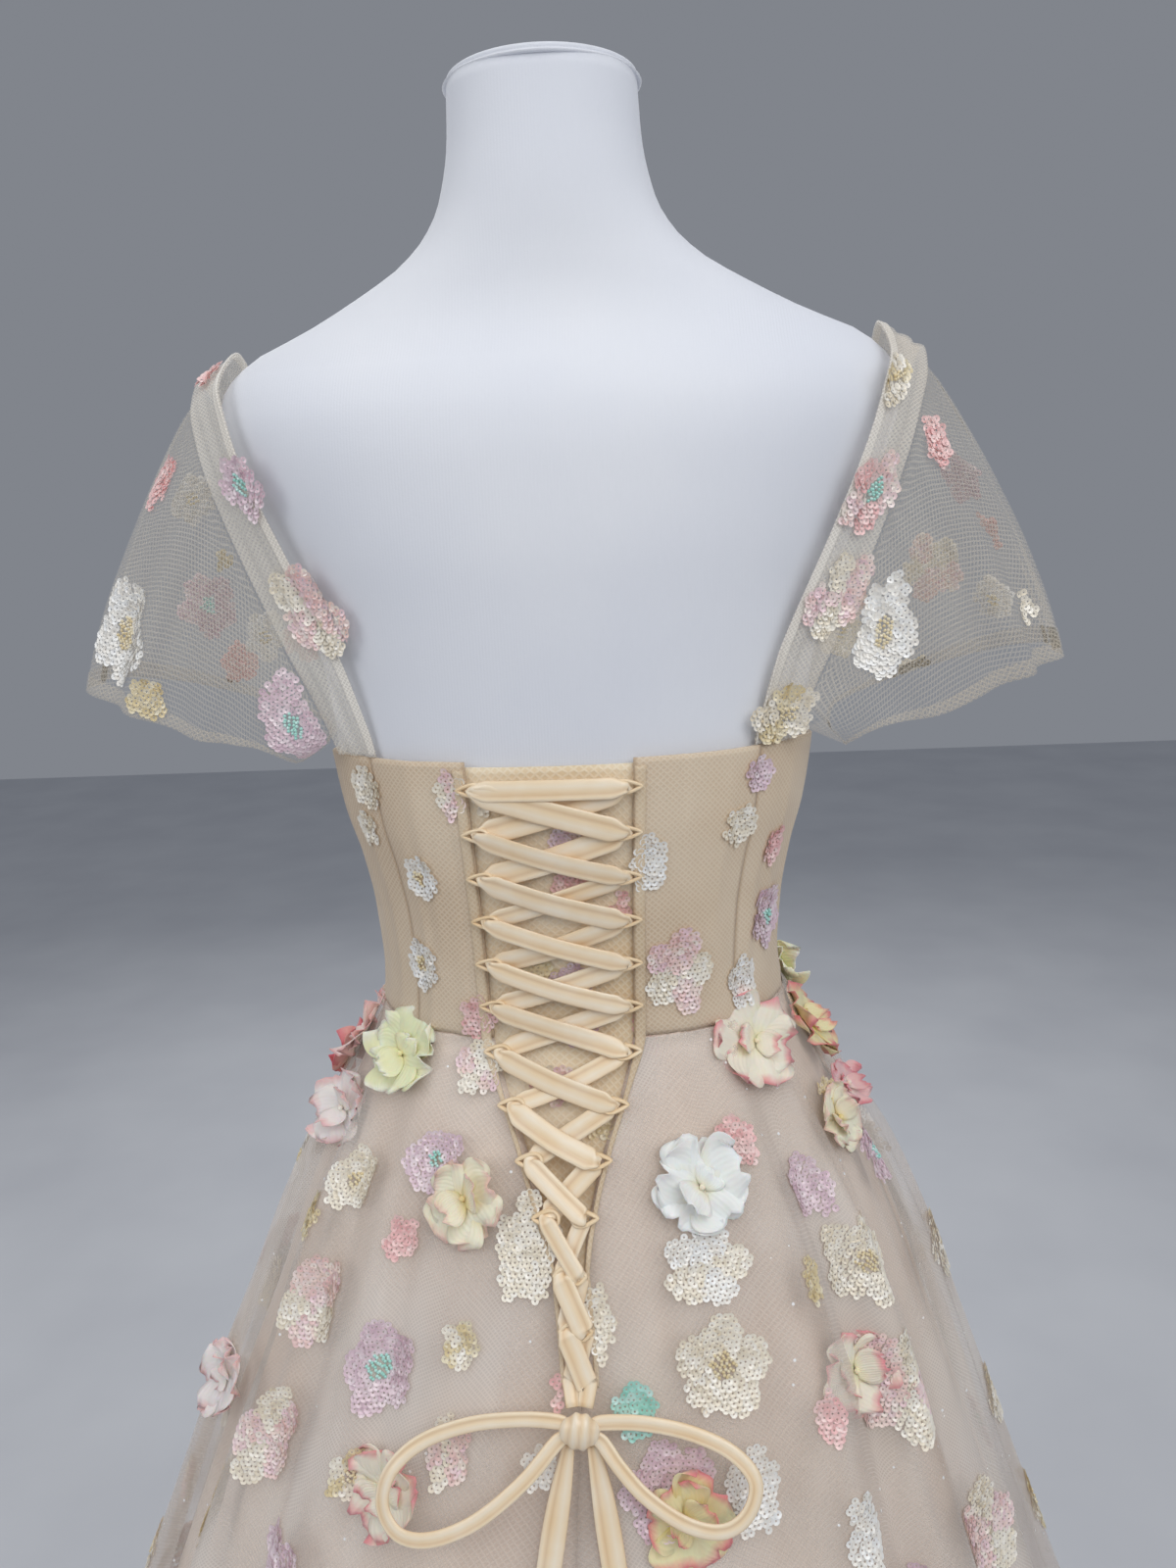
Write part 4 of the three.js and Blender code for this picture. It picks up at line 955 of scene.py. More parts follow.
def makeLace():
    levels = lacing["levels"]
    turns = [(level, (-1 if level % 2 else 1) * turnReach(level)) for level in range(levels - 1, -1, -1)]
    turns += [(level, -x) for level, x in turns[::-1]]
    stops = []
    chance = random.Random(5)
    for (fromLevel, fromX), (toLevel, toX) in zip(turns, turns[1:]):
        upper, lower = (fromX, toX) if fromLevel <= toLevel else (toX, fromX)
        far = lacing["over"] if fromLevel == toLevel or upper > lower else lacing["under"]
        full = lerp(lacing["narrow"], lacing["width"], smooth(6, 30, abs(fromX)))
        bunched = lerp(lacing["bunched"] + 2.5, lacing["bunched"], smooth(6, 24, abs(fromX)))
        uneven, curl = chance.uniform(0.86, 1.1), chance.uniform(-0.22, 0.22)
        sag = chance.uniform(-2.2, 1.0)
        for share in (0, 0.04, 0.1, 0.2, 0.5, 0.8, 0.9, 0.96):
            near = min(share, 1 - share)
            wide = lerp(bunched, full * uneven, smooth(0.0, 0.1, near))
            x, rise = lerp(fromX, toX, share), lerp(levelRise(fromLevel), levelRise(toLevel), share)
            rise += sag * math.sin(math.pi * share) * smooth(8, 28, abs(fromX))
            thick = lerp(lacing["turnThickness"], lacing["thickness"], smooth(0.0, 0.17, near))
            stops.append({"point": lacingPoint(x, rise, far if near > 0 else lacing["turn"]),
                          "normal": (lacingNormal(x, rise) + Vector((0, 0, curl))).normalized(),
                          "width": wide, "thickness": thick})
    last = turns[-1]
    stops.append(dict(stops[0], normal=lacingNormal(last[1], levelRise(last[0]))))
    for stop, x in ((stops[0], turns[0][1]), (stops[-1], last[1])):
        stop["point"] = lacingPoint(0.6 * x, knot["rise"] + knot["halfHeight"] + 0.1, knot["height"] - 2)
    piece = ribbonAlong("satinLace", stops, (len(stops) - 1) * 3, around=22)[0]
    finishPiece(piece, laceSatin, "satin_ribbon", "corset_lace")


def joinInto(first, rest):
    if rest:
        selectOnly(first, *rest)
        bpy.ops.object.join()
    return first


ringTube = 5  # a ring is modelled this many times wider than its cord


def makeLoops(name, sign):
    def place(u, v):
        rise = lerp(slitEnd + 3, bodiceTop - 4, v)
        start = max(openingHalf(rise) + seamGap, lacing["tapeNearest"])
        edge = 1 - abs(2 * u - 1) ** 4
        wide = lacing["tapeWidth"] * lerp(0.45, 1, smooth(-30, 6, rise))
        return lacingPoint(sign * (start + wide * u), rise, 0.45 + 0.6 * edge)

    tape = clothFrom("edgeTape." + name, place, 8, 150, middle=bodyAxis, wall=lacing["tapeWall"])
    finishPiece(tape, edgeCloth, "bodice_cloth", "loop_tape_" + name)
    rings = []
    for level in range(lacing["levels"]):
        rise = levelRise(level)
        if rise < slitEnd + 8:
            break
        reach = min(lacing["ringReach"], turnReach(level) - 1.2)
        deselectAll()
        bpy.ops.mesh.primitive_torus_add(major_segments=24, minor_segments=8, major_radius=1,
                                         minor_radius=1 / ringTube)
        ring = bpy.context.object
        for vert in ring.data.vertices:
            radius, around = math.hypot(vert.co.x, vert.co.y), math.atan2(vert.co.y, vert.co.x)
            out, up = (radius - 1) * ringTube, vert.co.z * ringTube
            wide = math.cos(around) * (reach + out * lacing["ringCord"])
            drawn = 0.75 - 0.45 * math.cos(around) * sign  # pulled to a point where it is sewn in
            tall = math.sin(around) * (lacing["ringTall"] * drawn + out * lacing["ringCord"])
            vert.co = lacingPoint(sign * turnReach(level) + wide, rise + tall,
                                  lacing["turn"] + up * lacing["ringCord"]) * mm
        if sign < 0:  # a mirrored ring is inside out
            ring.data.flip_normals()
        shadeSmooth(ring)
        rings.append(ring)
    loops = joinInto(rings[0], rings[1:])
    loops.name = loops.data.name = "laceLoops." + name
    finishPiece(loops, cordSatin, "satin_ribbon")


# the bow: its loops' middle line as distance from the knot, rise, and height over the skirt
bowLoops = {
    "left": [(10.6, -162.5, 7.5), (28, -161, 9), (52, -163, 12), (74, -171, 16), (87, -184, 19),
             (90, -199, 19), (82, -210, 18), (67, -211, 16), (47, -203, 13), (26, -187, 10),
             (10.6, -171, 7.5)],
    "right": [(-10.7, -163, 7.5), (-30, -163, 9), (-52, -167, 12), (-70, -175, 16), (-80, -187, 19),
              (-77, -200, 19), (-66, -206, 18), (-50, -203, 15), (-32, -193, 11), (-19, -181, 8.8),
              (-10.4, -171, 7.5)]}
bowRibbon = {"width": 7.5, "tied": 5.5, "thickness": 2.6, "points": 80}
knot = {"x": 0, "rise": -166, "height": 8.5, "halfWidth": 10.2, "halfHeight": 9.0, "halfDepth": 6.5}


def makeBow():
    for side, loop in bowLoops.items():
        # the ribbon's ends run on into the knot
        start, end = loop[0], loop[-1]
        loop = [(start[0] / 2, start[1] - 1, knot["height"]), *loop, (end[0] / 2, end[1] + 2, knot["height"])]
        stops = [{"point": lacingPoint(x, rise, height), "normal": lacingNormal(x, rise),
                  "width": bowRibbon["tied" if i in (0, len(loop) - 1) else "width"],
                  "thickness": bowRibbon["thickness"]}
                 for i, (x, rise, height) in enumerate(loop)]
        piece = ribbonAlong("bowLoop." + side, stops, bowRibbon["points"])[0]
        finishPiece(piece, laceSatin, "satin_ribbon", "bow_loop_" + side)
    centre = lacingPoint(knot["x"], knot["rise"], knot["height"])
    deselectAll()
    bpy.ops.mesh.primitive_uv_sphere_add(segments=40, ring_count=24, radius=1)
    piece = bpy.context.object
    piece.name = "bowKnot"
    paintedCreaseShades = []
    # two turns of ribbon drawn tight, so the creases run up and down; each crease also gets painted shade,
    # and the ribbon between creases a painted highlight, through the share at which the satin's tones are
    # read
    for vert in piece.data.vertices:
        x, y, z = vert.co
        crease = 0.5 + 0.5 * math.cos(11 * x + 1.5 * z)
        wrap = 1 - 0.10 * crease * (1 - abs(x) ** 3)
        square = 1 + 0.12 * (1 - x * x) * abs(z)
        # painted shade: deeper creases read the dark groove tone, the ribbon between them the painted
        # highlight tone
        paintedCreaseShades.append(0.31 - 0.12 * crease)
        vert.co = (centre + Vector((x * knot["halfWidth"] * wrap, y * knot["halfDepth"] * wrap,
                                    z * knot["halfHeight"] * wrap * square))) * mm
    giveValues(piece.data, "share", paintedCreaseShades)
    shadeSmooth(piece)
    finishPiece(piece, laceSatin, "satin_ribbon", "bow_knot")


makeLace()
makeLoops("left", 1)
makeLoops("right", -1)
makeBow()
print("laced and tied")


# curled fabric flowers: angle, drop below the waist, size across, lift, turn, petal cloth
flowers = {
    "green_left": (48, 16, 43, 12, 20, "green"), "coral_left": (96, 50, 40, 13, 50, "coral"),
    "pale_pink_left": (80, 20, 38, 12, 0, "pink"), "white_pink_left": (68, 58, 36, 11, 35, "shell"),
    "green_right": (-103, 2, 34, 12, 10, "green"), "yellow_right": (-87, 28, 44, 13, 60, "yellow"),
    "small_pink_right": (-88, 70, 30, 10, 25, "rose"), "pink_cream_right": (-48, 13, 44, 12, 0, "blush"),
    "cream_back_left": (19, 73, 40, 11, 15, "cream"), "white_back_right": (-21, 70, 44, 13, 40, "white"),
    "cream_right": (-66, 66, 34, 11, 70, "cream"), "pink_left_low": (71, 218, 38, 13, 30, "shell"),
    "pink_cream_low": (-43.5, 176, 38, 12, 55, "blush"), "bow_left": (24, 208, 42, 8, 0, "blush"),
    "bow_right": (-12, 212, 42, 7, 45, "yellow"), "front_1": (120, 22, 42, 12, 10, "blush"),
    "front_2": (146, 30, 42, 12, 40, "white"), "front_3": (172, 16, 44, 13, 65, "pink"),
    "front_4": (203, 34, 42, 12, 5, "green"), "front_5": (236, 20, 44, 12, 30, "yellow"),
    "front_6": (128, 92, 40, 11, 50, "cream"), "front_7": (158, 120, 42, 12, 20, "blush"),
    "front_8": (190, 96, 40, 12, 0, "white"), "front_9": (218, 130, 42, 12, 35, "rose")}
petalCloths = {
    "green": (makePetal("paleGreenPetal", "#F8EFB4", "#F3F1C6", "#FAF8E6"), "petal_green"),
    "coral": (makePetal("coralPetal", "#FAE3C8", "#F4B2AC", "#E26C78"), "petal_coral"),
    "pink": (makePetal("palePinkPetal", "#FCF0E6", "#F9DFD7", "#F0B8B4"), "petal_pink"),
    "rose": (makePetal("rosePetal", "#FBE8DC", "#F6C8C6", "#E68C96"), "petal_pink"),
    "blush": (makePetal("creamPetalPinkRim", "#FBEFC8", "#FBEFDC", "#EE9CA0"), "petal_cream"),
    "yellow": (makePetal("paleYellowPetal", "#F4DC8E", "#FAECBC", "#EE8F90"), "petal_yellow"),
    "cream": (makePetal("creamPetal", "#F2DCA0", "#FAF0D6", "#F3CDBE"), "petal_cream"),
    "shell": (makePetal("shellPinkPetal", "#FBF2E8", "#FAEEEA", "#F2C6C4"), "petal_pink"),
    "white": (makePetal("whitePetal", "#F8EFD6", "#FBF9F4", "#FEFDFB"), "petal_white")}
petalForm = {"outer": 5, "inner": 2, "innerSize": 0.56, "spread": 0.74, "ruffle": 0.19, "wall": 0.45,
             "lean": 0.2}


def seatOf(angle, drop):
    out = normalOf(netPoint, angle * degree, -drop)
    return netPoint(angle * degree, -drop, 0) + out * clothGap, out


def makeFlower(name, angle, drop, across, lift, turn, cloth):
    seat, out = seatOf(angle, drop)
    chance = random.Random(name)
    facing = Vector((0, 0, 1)).rotation_difference(out).to_matrix()
    leanX, leanY = (chance.uniform(-petalForm["lean"], petalForm["lean"]) for n in range(2))
    petals = []
    tiers = [(petalForm["outer"], 1.08, 0.5), (petalForm["inner"], petalForm["innerSize"], 0.9)]
    for tier, (count, size, rise) in enumerate(tiers):
        for i in range(count):
            heading = turn + 360 / count * (i + 0.5 * tier + 0.5) + chance.uniform(-20, 20)
            reach = across / 2 * size * chance.uniform(0.84, 1.14)
            cup, curl, wave = chance.uniform(0.15, 1.2), chance.uniform(-0.9, 0.9), chance.uniform(0, 6)
            pinch, swell = chance.uniform(-0.3, 0.3), chance.uniform(0.85, 1.15)

            def place(u, v):
                s, r = 2 * u - 1, v
                wide = petalForm["spread"] * swell * reach
                wide *= 0.18 + 0.92 * math.sin(math.pi * min(1, 0.10 + 0.72 * r))
                notch = 0.2 * bell(s, 0.2 * curl, 0.2) + 0.16 * abs(s) ** 2.2 + 0.03 * math.sin(9 * s + wave)
                far = reach * (0.04 + 0.98 * r * (1 - notch * r * r))
                crumple = petalForm["ruffle"] * reach * r * r
                crumple *= math.sin(4.3 * s + wave) + 0.7 * math.sin(8 * s + 2 * wave)
                folds = 0.05 * reach * r * math.sin(10 * s + wave)
                folds += 0.05 * reach * math.sin(5 * r + wave) * (1 - abs(s))
                up = lift * rise * (cup * (0.85 * r ** 1.6) + 0.12) + 0.22 * wide * s * s * r
                up = up + crumple + folds - lift * 0.5 * max(0, curl) * smooth(0.6, 1, r)
                turned = Matrix.Rotation(heading * degree, 3, "Z")
                local = turned @ Vector((far, wide * (s + pinch * r * r), 0))
                up += leanX * local.x + leanY * local.y
                return seat + facing @ Vector((local.x, local.y, max(0.3 + 0.5 * r, up) + tier * 0.8))

            petals.append(clothFrom("petal", place, 9, 9, middle=lambda p: (seat - out * 60) * mm,
                                    wall=petalForm["wall"]))
    deselectAll()
    bpy.ops.mesh.primitive_ico_sphere_add(subdivisions=2, radius=1)
    heart = bpy.context.object
    for vert in heart.data.vertices:
        vert.co = (seat + facing @ (Vector(vert.co) * 1.6 + Vector((0, 0, lift * 0.2 + 1.0)))) * mm
    shadeSmooth(heart)
    giveValues(heart.data, "reach", [0.0] * len(heart.data.vertices))
    flower = joinInto(petals[0], petals[1:] + [heart])
    flower.name = flower.data.name = "fabricFlower." + name
    material, slotName = petalCloths[cloth]
    finishPiece(flower, material, slotName, "flower_" + name)


for name, facts in flowers.items():
    makeFlower(name, *facts)
print("flowers sewn on:", len(flowers))

# sequins: cupped plastic, about 4 mm across with a 1 mm hole, sewn down overlapping in flower shapes
sequin = {"radius": 2.05, "hole": 0.26, "cup": 0.16, "pitch": 3.0, "tilt": 5, "lean": 11, "lift": 1.0}
rowShare = 0.866  # of the pitch, between rows that lie staggered
# a sewn flower's petals are discs round its middle; these are shares of its half size
motif = {"petalFar": 0.56, "petalSize": 0.42, "heart": 0.27, "middle": 0.3, "scatter": 0.35, "looseness": 0.6}
strewing = {"tries": 3000, "top": 20, "depth": 940, "thinning": 1.15, "size": (28, 52), "pitch": 3.3}
beadRadius = 1.0
sequinTones = {
    "pink": (makeSequin("coralPinkSequins", "#F1BDBB", "#F6CECA", "#F9DDD8"), "petal_pink"),
    "pearl": (makeSequin("pearlPinkSequins", "#F2CFCB", "#FAE5DA", "#F4D6DC", "#FEF3E8"), "petal_pink"),
    "lilac": (makeSequin("lilacSequins", "#E4C9D4", "#ECD5DC", "#F4E4E8"), "petal_pink"),
    "ivory": (makeSequin("ivorySequins", "#F1E6D0", "#F8F0DF", "#FFFAEF"), "petal_cream"),
    "white": (makeSequin("whiteSequins", "#F4EFE6", "#FAF7F0", "#FFFFFD"), "petal_white"),
    "gold": (makeSequin("champagneSequins", "#E3D0A2", "#EDDEB8", "#F5EBD0"), "petal_yellow"),
    "turquoise": (makeSequin("turquoiseSequins", "#A3E0D2", "#B9E9DE", "#D3F3EC"), "petal_green")}
# petals' tones in turn, and the beads at the heart
sequinKinds = {
    "pinkIvory": (("pearl", "ivory", "pearl", "ivory", "pearl"), None),
    "lilacTurq": (("lilac",), "turquoise"), "lilac": (("lilac",), None),
    "creamGold": (("ivory",), "gold"), "cream": (("ivory",), None), "ivory": (("ivory",), None),
    "ivoryPink": (("ivory", "pearl"), None), "white": (("white",), None),
    "whiteSilver": (("white", "ivory"), None), "whiteGold": (("white",), "gold"),
    "gold": (("gold",), None), "goldBeige": (("gold", "ivory"), None),
    "goldCream": (("ivory", "gold"), "gold"), "paleYellow": (("gold", "ivory"), "gold"),
    "yellow": (("gold",), None), "pink": (("pink",), None), "pinkLilac": (("pearl", "lilac"), None),
    "turquoise": (("turquoise",), None), "pinkGreen": (("pearl", "pink"), "turquoise"),
    "coral": (("pink",), None)}


def onGown(angle, rise, height):
    if rise >= 0:
        return bodicePoint(angle, rise, bodiceRelief(angle, rise) + height)
    return netPoint(angle, rise, netRelief(angle, rise) + height)


def carrier(place, stepA, stepB):
    return {"place": place, "steps": (stepA, stepB)}


carriers = {
    "gown": carrier(onGown, 0.006, 1.0), "modesty": carrier(modestyPoint, 0.01, 1.0),
    "sleeveLeft": carrier(lambda u, v, h: sleevePoint(1, u, v, h), 0.004, 0.02),
    "sleeveRight": carrier(lambda u, v, h: sleevePoint(-1, u, v, h), 0.004, 0.02),
    "bandLeft": carrier(lambda u, v, h: bandPoint(1, u, v, h + 1.2), 0.03, 0.006),
    "bandRight": carrier(lambda u, v, h: bandPoint(-1, u, v, h + 1.2), 0.03, 0.006)}
sewn = {tone: [] for tone in sequinTones}
beaded = {tone: [] for tone in sequinTones}
sewChance = random.Random(41)


def scatter():
    return sewChance.uniform(-motif["scatter"], motif["scatter"])


def sewFlower(on, a, b, width, height, kind, pitch=sequin["pitch"]):
    place, (stepA, stepB) = carriers[on]["place"], carriers[on]["steps"]
    perA = (place(a + stepA, b, 0) - place(a - stepA, b, 0)).length / (2 * stepA)
    perB = (place(a, b + stepB, 0) - place(a, b - stepB, 0)).length / (2 * stepB)
    tones, heart = sequinKinds[kind]
    turn = sewChance.uniform(0, 2 * math.pi)
    count = 5 if min(width, height) > 15 else 3
    petals = []
    for i in range(count):
        heading = turn + 2 * math.pi * (i + sewChance.uniform(-0.08, 0.08)) / count
        far = motif["petalFar"] * sewChance.uniform(0.94, 1.06)
        size = motif["petalSize"] * sewChance.uniform(0.92, 1.08)
        petals.append((far * math.cos(heading), far * math.sin(heading), size))
    rows = int(height / (pitch * rowShare)) + 2
    columns = int(width / pitch) + 2
    for j in range(-rows // 2, rows // 2 + 1):
        for i in range(-columns // 2, columns // 2 + 1):
            dx = (i + 0.5 * (j % 2)) * pitch + scatter() * pitch * motif["looseness"]
            dy = j * pitch * rowShare + scatter() * pitch * motif["looseness"]
            x, y = 2 * dx / width, 2 * dy / height
            inHeart = heart and math.hypot(x, y) < motif["heart"]
            away, k = min((math.hypot(x - px, y - py) / size, n) for n, (px, py, size) in enumerate(petals))
            if away > 1 and math.hypot(x, y) > motif["middle"]:
                continue
            at, bt = a + dx / perA, b + dy / perB
            if on.startswith("sleeve") and not 0.01 < bt < 0.99:
                continue
            point = place(at, bt, sequin["lift"])
            across = place(at + stepA, bt, 0) - place(at - stepA, bt, 0)
            up = place(at, bt + stepB, 0) - place(at, bt - stepB, 0)
            out = up.cross(across).normalized()
            if out.dot(place(at, bt, 1) - place(at, bt, 0)) < 0:
                out = -out
            # each overlaps the next one out, as scales do
            petalX, petalY = petals[k][:2]
            inwards = -(across.normalized() * (x - 0.4 * petalX) + up.normalized() * (y - 0.4 * petalY))
            lean = Vector()
            if inwards.length > 0.05:
                lean = inwards.normalized() * math.tan(sequin["lean"] * degree)
            lean += Vector([sewChance.gauss(0, 1) for n in range(3)]) * math.tan(sequin["tilt"] * degree)
            facts = (point, (out + lean).normalized(), sewChance.uniform(0, 3), sewChance.random())
            if inHeart:
                beaded[heart].append(facts)
                extra = place(at + 1.3 / perA, bt + 1.1 / perB, sequin["lift"])
                beaded[heart].append((extra, out, 0, sewChance.random()))
            else:
                sewn[tones[k % len(tones)]].append(facts)


# the place on a carrier seen at one point of the frame; far takes the layer behind
def spotUnder(on, px, py, far=False):
    place, eye, sight = carriers[on]["place"], Vector(view["place"]), sightLine(px, py)

    def miss(a, b):
        point = place(a, b, 0) - eye
        depth = point.dot(sight)
        return (point - sight * depth).length, depth

    # a coarse search over the whole carrier, then smaller and smaller steps from the best place
    found = []
    countA, countB = (10, 90) if on.startswith("band") else (72, 20)
    for i in range(countA + 1):
        for j in range(countB + 1):
            away, depth = miss(i / countA, j / countB)
            found.append((away, depth, i / countA, j / countB))
    limit = max(12, min(found)[0] * 1.5)
    near = [f for f in found if f[0] < limit]
    depthAt = (max if far else min)(f[1] for f in near)
    best = min(f for f in near if abs(f[1] - depthAt) < 45)
    away, a, b, step = best[0], best[2], best[3], 0.02
    while step > 0.0005:
        moves = [(miss(a + da, min(1, max(0, b + db)))[0], a + da, min(1, max(0, b + db)))
                 for da, db in ((step, 0), (-step, 0), (0, step), (0, -step))]
        if min(moves)[0] < away:
            away, a, b = min(moves)
        else:
            step /= 2
    return a, b


# angle from the centre back, rise, width, height, kind
skirtSequins = [
    (27, -58, 35, 35, "lilacTurq"), (48, -79, 36, 38, "creamGold"), (55, -100, 22, 27, "gold"),
    (30, -94, 22, 25, "pink"), (48, -142, 42, 54, "pinkIvory"), (29, -154, 48, 49, "lilacTurq"),
    (16, -136, 22, 25, "goldBeige"), (49, -211, 42, 56, "pinkIvory"), (30, -205, 28, 27, "paleYellow"),
    (16, -184, 23, 40, "pinkIvory"), (7, -91, 35, 60, "ivory"), (21, -13, 30, 33, "ivoryPink"),
    (-31, -52, 28, 27, "pink"), (-19, -103, 50, 42, "whiteSilver"), (-19, -148, 51, 51, "creamGold"),
    (-51, -124, 48, 52, "creamGold"), (-37, -118, 16, 26, "gold"), (-46, -85, 28, 37, "lilac"),
    (-73, -91, 40, 38, "lilacTurq"), (-68, -52, 20, 20, "gold"), (-50, -187, 62, 67, "pinkIvory"),
    (-33, -178, 18, 29, "pink"), (-6, -163, 24, 28, "turquoise"), (-2, -124, 18, 41, "ivory"),
    (2, -154, 12, 21, "pink"), (-21, -205, 33, 44, "white"), (-35, -232, 24, 42, "white"),
    (-64, -295, 50, 58, "pinkIvory"), (-93, -307, 36, 46, "cream"), (-93, -190, 36, 50, "ivory"),
    (-94, -397, 30, 50, "goldCream"), (39, -256, 44, 38, "lilac"), (-10, -199, 51, 51, "lilac"),
    (4, -187, 17, 23, "white")]
bodiceSequins = [
    (-26, 35, 45, 49, "pinkIvory"), (-17, 98, 20, 33, "white"), (36, 89, 21, 27, "whiteGold"),
    (42, 38, 23, 33, "whiteGold"), (23, 11, 22, 27, "pink"), (-49, 20, 22, 34, "white"),
    (-63, 53, 34, 39, "lilacTurq"), (-59, 95, 18, 22, "pink"), (-46, 140, 20, 22, "lilac"),
    (-41, 113, 22, 24, "ivory"), (22, 138, 18, 28, "pinkIvory"), (50, 138, 26, 24, "ivory"),
    (54, 115, 18, 22, "ivory"), (112, 60, 40, 42, "creamGold"), (126, 110, 36, 38, "pinkIvory"),
    (138, 30, 30, 34, "lilacTurq"), (158, 90, 44, 46, "pinkIvory"), (178, 120, 34, 34, "whiteGold"),
    (172, 50, 42, 44, "lilacTurq"), (200, 78, 36, 38, "creamGold"), (218, 118, 42, 40, "pinkIvory"),
    (232, 50, 34, 36, "pink"), (250, 96, 30, 34, "lilac"), (98, 118, 26, 28, "pink"),
    (190, 20, 30, 30, "gold")]
modestySequins = [
    (15, 133, 16, 12, "ivory"), (-1, 110, 26, 22, "pinkLilac"), (-1, 89, 24, 18, "pink"),
    (-11, 74, 14, 20, "pink"), (8, 41, 24, 19, "yellow"), (0, 32, 32, 22, "lilac"),
    (-1, 5, 27, 18, "lilac"), (4, -22, 27, 22, "pinkIvory"), (-15, -1, 14, 32, "pink"),
    (-5, -40, 22, 22, "gold")]
# flowers on the shoulders, each by the point of the frame it is seen at: across, down, then as above;
# far is the layer behind
shoulderSequins = [
    ("bandLeft", (215, 385), 24, 18, "coral", False), ("sleeveLeft", (165, 490), 22, 32, "pink", False),
    ("bandLeft", (247, 495), 28, 40, "lilacTurq", False),
    ("bandLeft", (320, 625), 46, 60, "pinkIvory", False),
    ("sleeveLeft", (130, 645), 42, 62, "whiteGold", False),
    ("sleeveLeft", (228, 573), 13, 18, "gold", True),
    ("sleeveLeft", (272, 650), 28, 32, "whiteGold", True),
    ("sleeveLeft", (150, 715), 25, 25, "gold", False),
    ("sleeveLeft", (298, 740), 56, 36, "lilacTurq", False),
    ("bandRight", (916, 385), 20, 34, "goldCream", False),
    ("sleeveRight", (956, 450), 27, 27, "pink", False),
    ("bandRight", (890, 500), 32, 46, "pinkGreen", False),
    ("bandRight", (855, 610), 37, 54, "pinkIvory", False),
    ("sleeveRight", (903, 643), 48, 46, "whiteGold", False),
    ("sleeveRight", (1010, 540), 10, 28, "pink", True),
    ("sleeveRight", (1045, 620), 11, 22, "ivory", False),
    ("sleeveRight", (935, 690), 30, 17, "goldCream", True),
    ("bandRight", (800, 730), 42, 36, "goldCream", False)]
# round the sleeves' fronts: fraction round, fraction down
frontSleeveSequins = [
    ("sleeveLeft", 0.72, 0.35, 36, 38, "pinkIvory"), ("sleeveLeft", 0.83, 0.62, 40, 40, "lilacTurq"),
    ("sleeveLeft", 0.92, 0.28, 30, 32, "whiteGold"), ("sleeveLeft", 0.77, 0.82, 26, 26, "pink"),
    ("sleeveRight", 0.70, 0.40, 34, 36, "creamGold"), ("sleeveRight", 0.82, 0.55, 42, 42, "pinkIvory"),
    ("sleeveRight", 0.93, 0.35, 28, 30, "lilac"), ("sleeveRight", 0.88, 0.80, 28, 28, "whiteGold"),
    ("bandLeft", 0.5, 0.74, 38, 40, "pinkIvory"), ("bandRight", 0.5, 0.76, 38, 40, "lilacTurq")]


def sewSequins():
    for angle, rise, width, height, kind in skirtSequins + bodiceSequins:
        sewFlower("gown", angle * degree, rise, width, height, kind)
    for angle, rise, width, height, kind in modestySequins:
        sewFlower("modesty", angle * degree, rise, width, height, kind)
    for on, point, width, height, kind, far in shoulderSequins:
        sewFlower(on, *spotUnder(on, *point, far), width, height, kind)
    for on, a, b, width, height, kind in frontSleeveSequins:
        sewFlower(on, a, b, width, height, kind)
    # the rest of the skirt carries the same flowers, fewer towards the hem
    taken = [(angle, rise) for angle, rise, *rest in skirtSequins]
    taken += [(facts[0], -facts[1]) for facts in flowers.values()]
    kinds = ["pinkIvory", "lilacTurq", "creamGold", "white", "pink", "ivory", "lilac", "gold", "whiteGold",
             "pinkIvory"]
    strewn = 0
    for attempt in range(strewing["tries"]):
        angle = sewChance.uniform(-180, 180)
        drop = strewing["top"] + strewing["depth"] * sewChance.random() ** strewing["thinning"]
        if abs(angle) < 88 and drop < 265 or (abs(angle) < 14 and drop < 500):
            continue
        around = (waist["side"] + column(skirtRows, 1, drop)) * degree
        room = lerp(56, 105, smooth(150, 900, drop))
        if all(math.hypot(((angle - a + 180) % 360 - 180) * around, -drop - r) > room for a, r in taken):
            taken.append((angle, -drop))
            size = sewChance.uniform(*strewing["size"])
            sewFlower("gown", angle * degree, -drop, size, size * sewChance.uniform(0.9, 1.15),
                      sewChance.choice(kinds), pitch=strewing["pitch"])
            strewn += 1
    print("sequin flowers strewn over the rest of the skirt:", strewn)


# one cupped sequin and one bead are modelled here and copied to every place
def modelSequin():
    deselectAll()
    bpy.ops.mesh.primitive_circle_add(vertices=8, radius=1)
    bpy.ops.object.mode_set(mode="EDIT")
    bpy.ops.mesh.select_all(action="SELECT")
    bpy.ops.mesh.extrude_edges_move(TRANSFORM_OT_translate={"value": (0, 0, -sequin["cup"])})
    bpy.ops.transform.resize(value=(sequin["hole"], sequin["hole"], 1))
    bpy.ops.object.mode_set(mode="OBJECT")
    return takeForm()


def modelBead():
    deselectAll()
    bpy.ops.mesh.primitive_ico_sphere_add(subdivisions=1, radius=beadRadius)
    return takeForm()


def takeForm():
    piece = bpy.context.object
    form = {"points": [v.co.copy() for v in piece.data.vertices],
            "faces": [list(f.vertices) for f in piece.data.polygons]}
    if len(form["faces"]) == 8 and piece.data.polygons[0].normal.z < 0:
        form["faces"] = [face[::-1] for face in form["faces"]]
    bpy.data.objects.remove(piece)
    return form


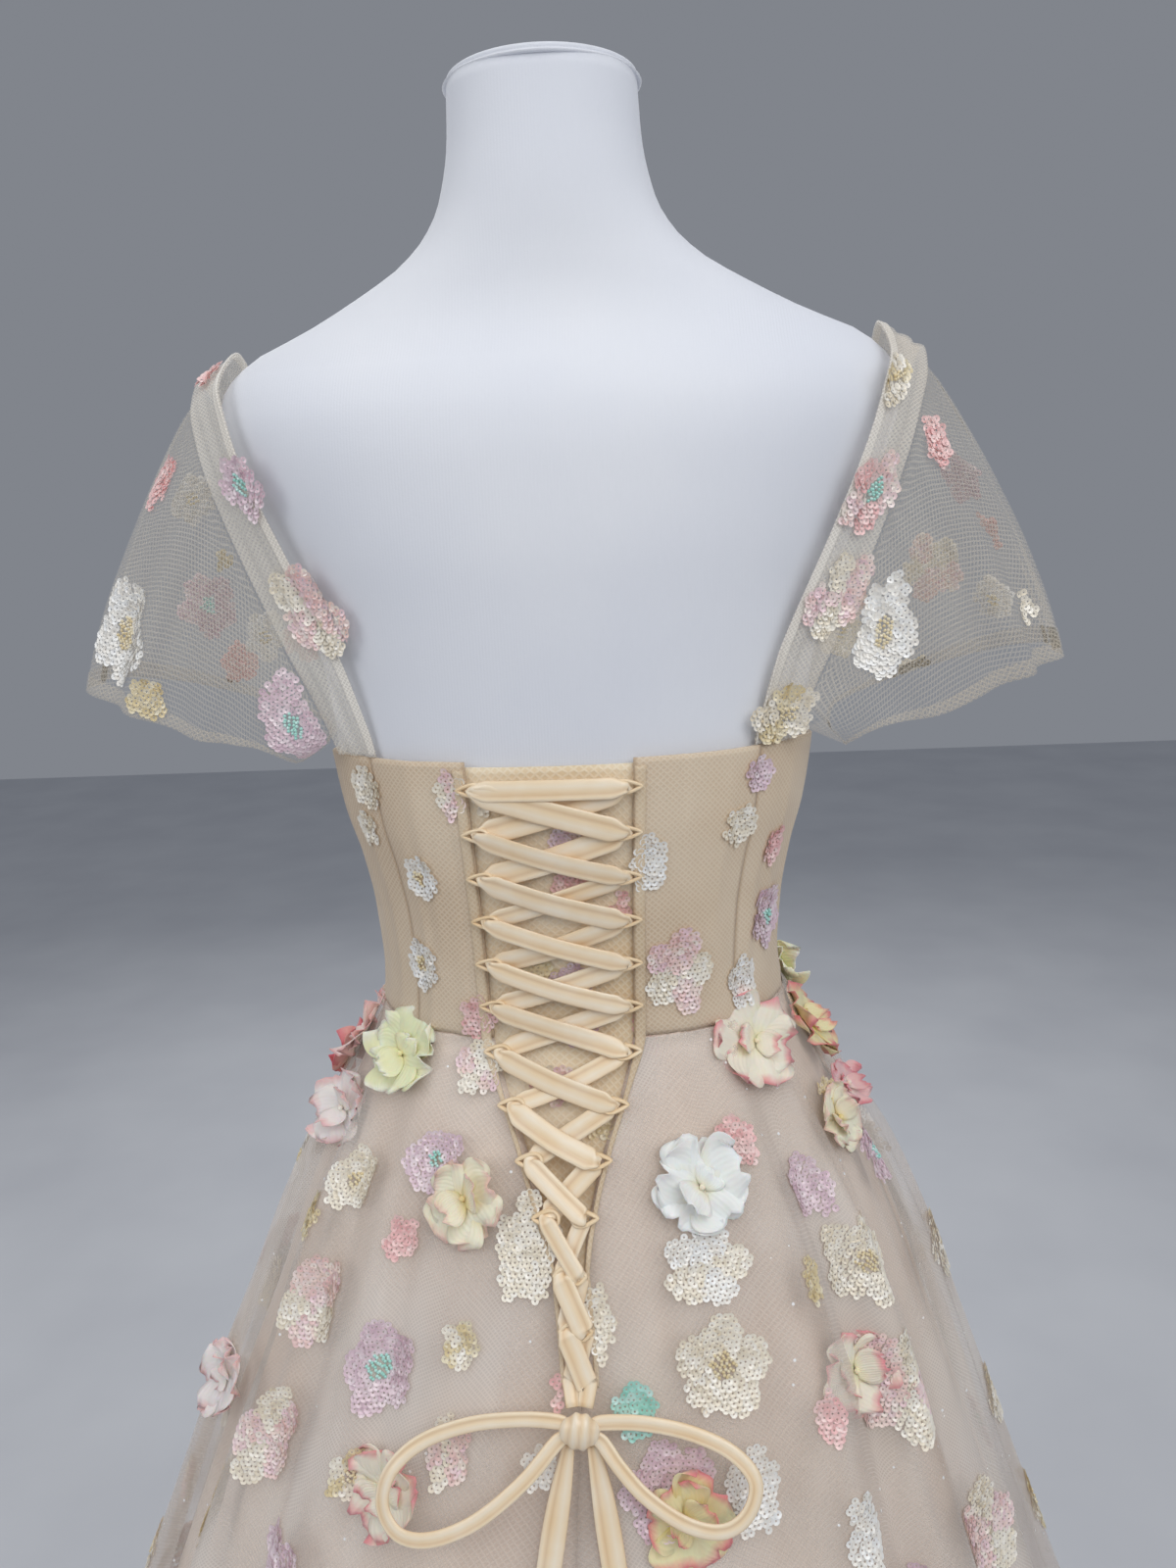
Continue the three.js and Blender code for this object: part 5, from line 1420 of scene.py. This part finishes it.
def sewOn(name, form, places, size, material, slotName):
    points, faces, shades = [], [], []
    for place, out, spin, shade in places:
        facing = Vector((0, 0, 1)).rotation_difference(out).to_matrix() @ Matrix.Rotation(spin, 3, "Z")
        start = len(points)
        points += [(place + facing @ (v * size)) * mm for v in form["points"]]
        faces += [[start + i for i in face] for face in form["faces"]]
        shades += [shade] * len(form["points"])
    mesh = bpy.data.meshes.new(name)
    mesh.from_pydata(points, [], faces)
    giveValues(mesh, "shade", shades)
    piece = bpy.data.objects.new(name, mesh)
    bpy.context.collection.objects.link(piece)
    finishPiece(piece, material, slotName)
    print("  ", name, len(places))


sewSequins()
sequinForm, beadForm = modelSequin(), modelBead()
for tone, (material, slotName) in sequinTones.items():
    if sewn[tone]:
        sewOn("sequins." + tone, sequinForm, sewn[tone], sequin["radius"], material, slotName)
    if beaded[tone]:
        sewOn("beads." + tone, beadForm, beaded[tone], 1, material, slotName)
print("sequins sewn on")


# studio: a pale floor, grey surroundings and soft lamps
studio = {"grey": "#8F939B", "worldStrength": 0.8, "floorSize": 12, "aim": (0, 0, 1.15),
          "lamps": [((-0.8, 1.7, 2.6), 1.8, 20), ((2.0, 1.5, 2.2), 1.8, 17), ((0.2, 0.1, 3.3), 2.6, 13),
                    ((0.3, -2.2, 2.4), 2.0, 24), ((-2.0, 1.4, 2.3), 1.8, 11)]}


def makeStudio():
    deselectAll()
    bpy.ops.mesh.primitive_plane_add(size=studio["floorSize"])
    floor = bpy.context.object
    floor.name = "studioFloor"
    material, tree, shader = startMaterial("paleStudioFloor", Roughness=0.8)
    tone = addRamp(tree, addNoise(tree, placeOn(tree), 3.0, 3.0), (0.3, 0.7), ("#C9CBD0", "#D2D4D8"))
    tree.links.new(tone, shader.inputs["Base Color"])
    floor.data.materials.append(material)
    world = bpy.data.worlds.new("studioGrey")
    world.use_nodes = True
    background = world.node_tree.nodes["Background"]
    background.inputs["Color"].default_value = linear(studio["grey"])
    background.inputs["Strength"].default_value = studio["worldStrength"]
    bpy.context.scene.world = world
    for place, size, power in studio["lamps"]:
        bpy.ops.object.light_add(type="AREA", location=place)
        lamp = bpy.context.object
        lamp.data.size, lamp.data.energy = size, power
        lamp.rotation_euler = (Vector(studio["aim"]) - Vector(place)).to_track_quat("-Z", "Y").to_euler()
    bpy.context.scene.view_settings.view_transform = "Standard"


makeStudio()
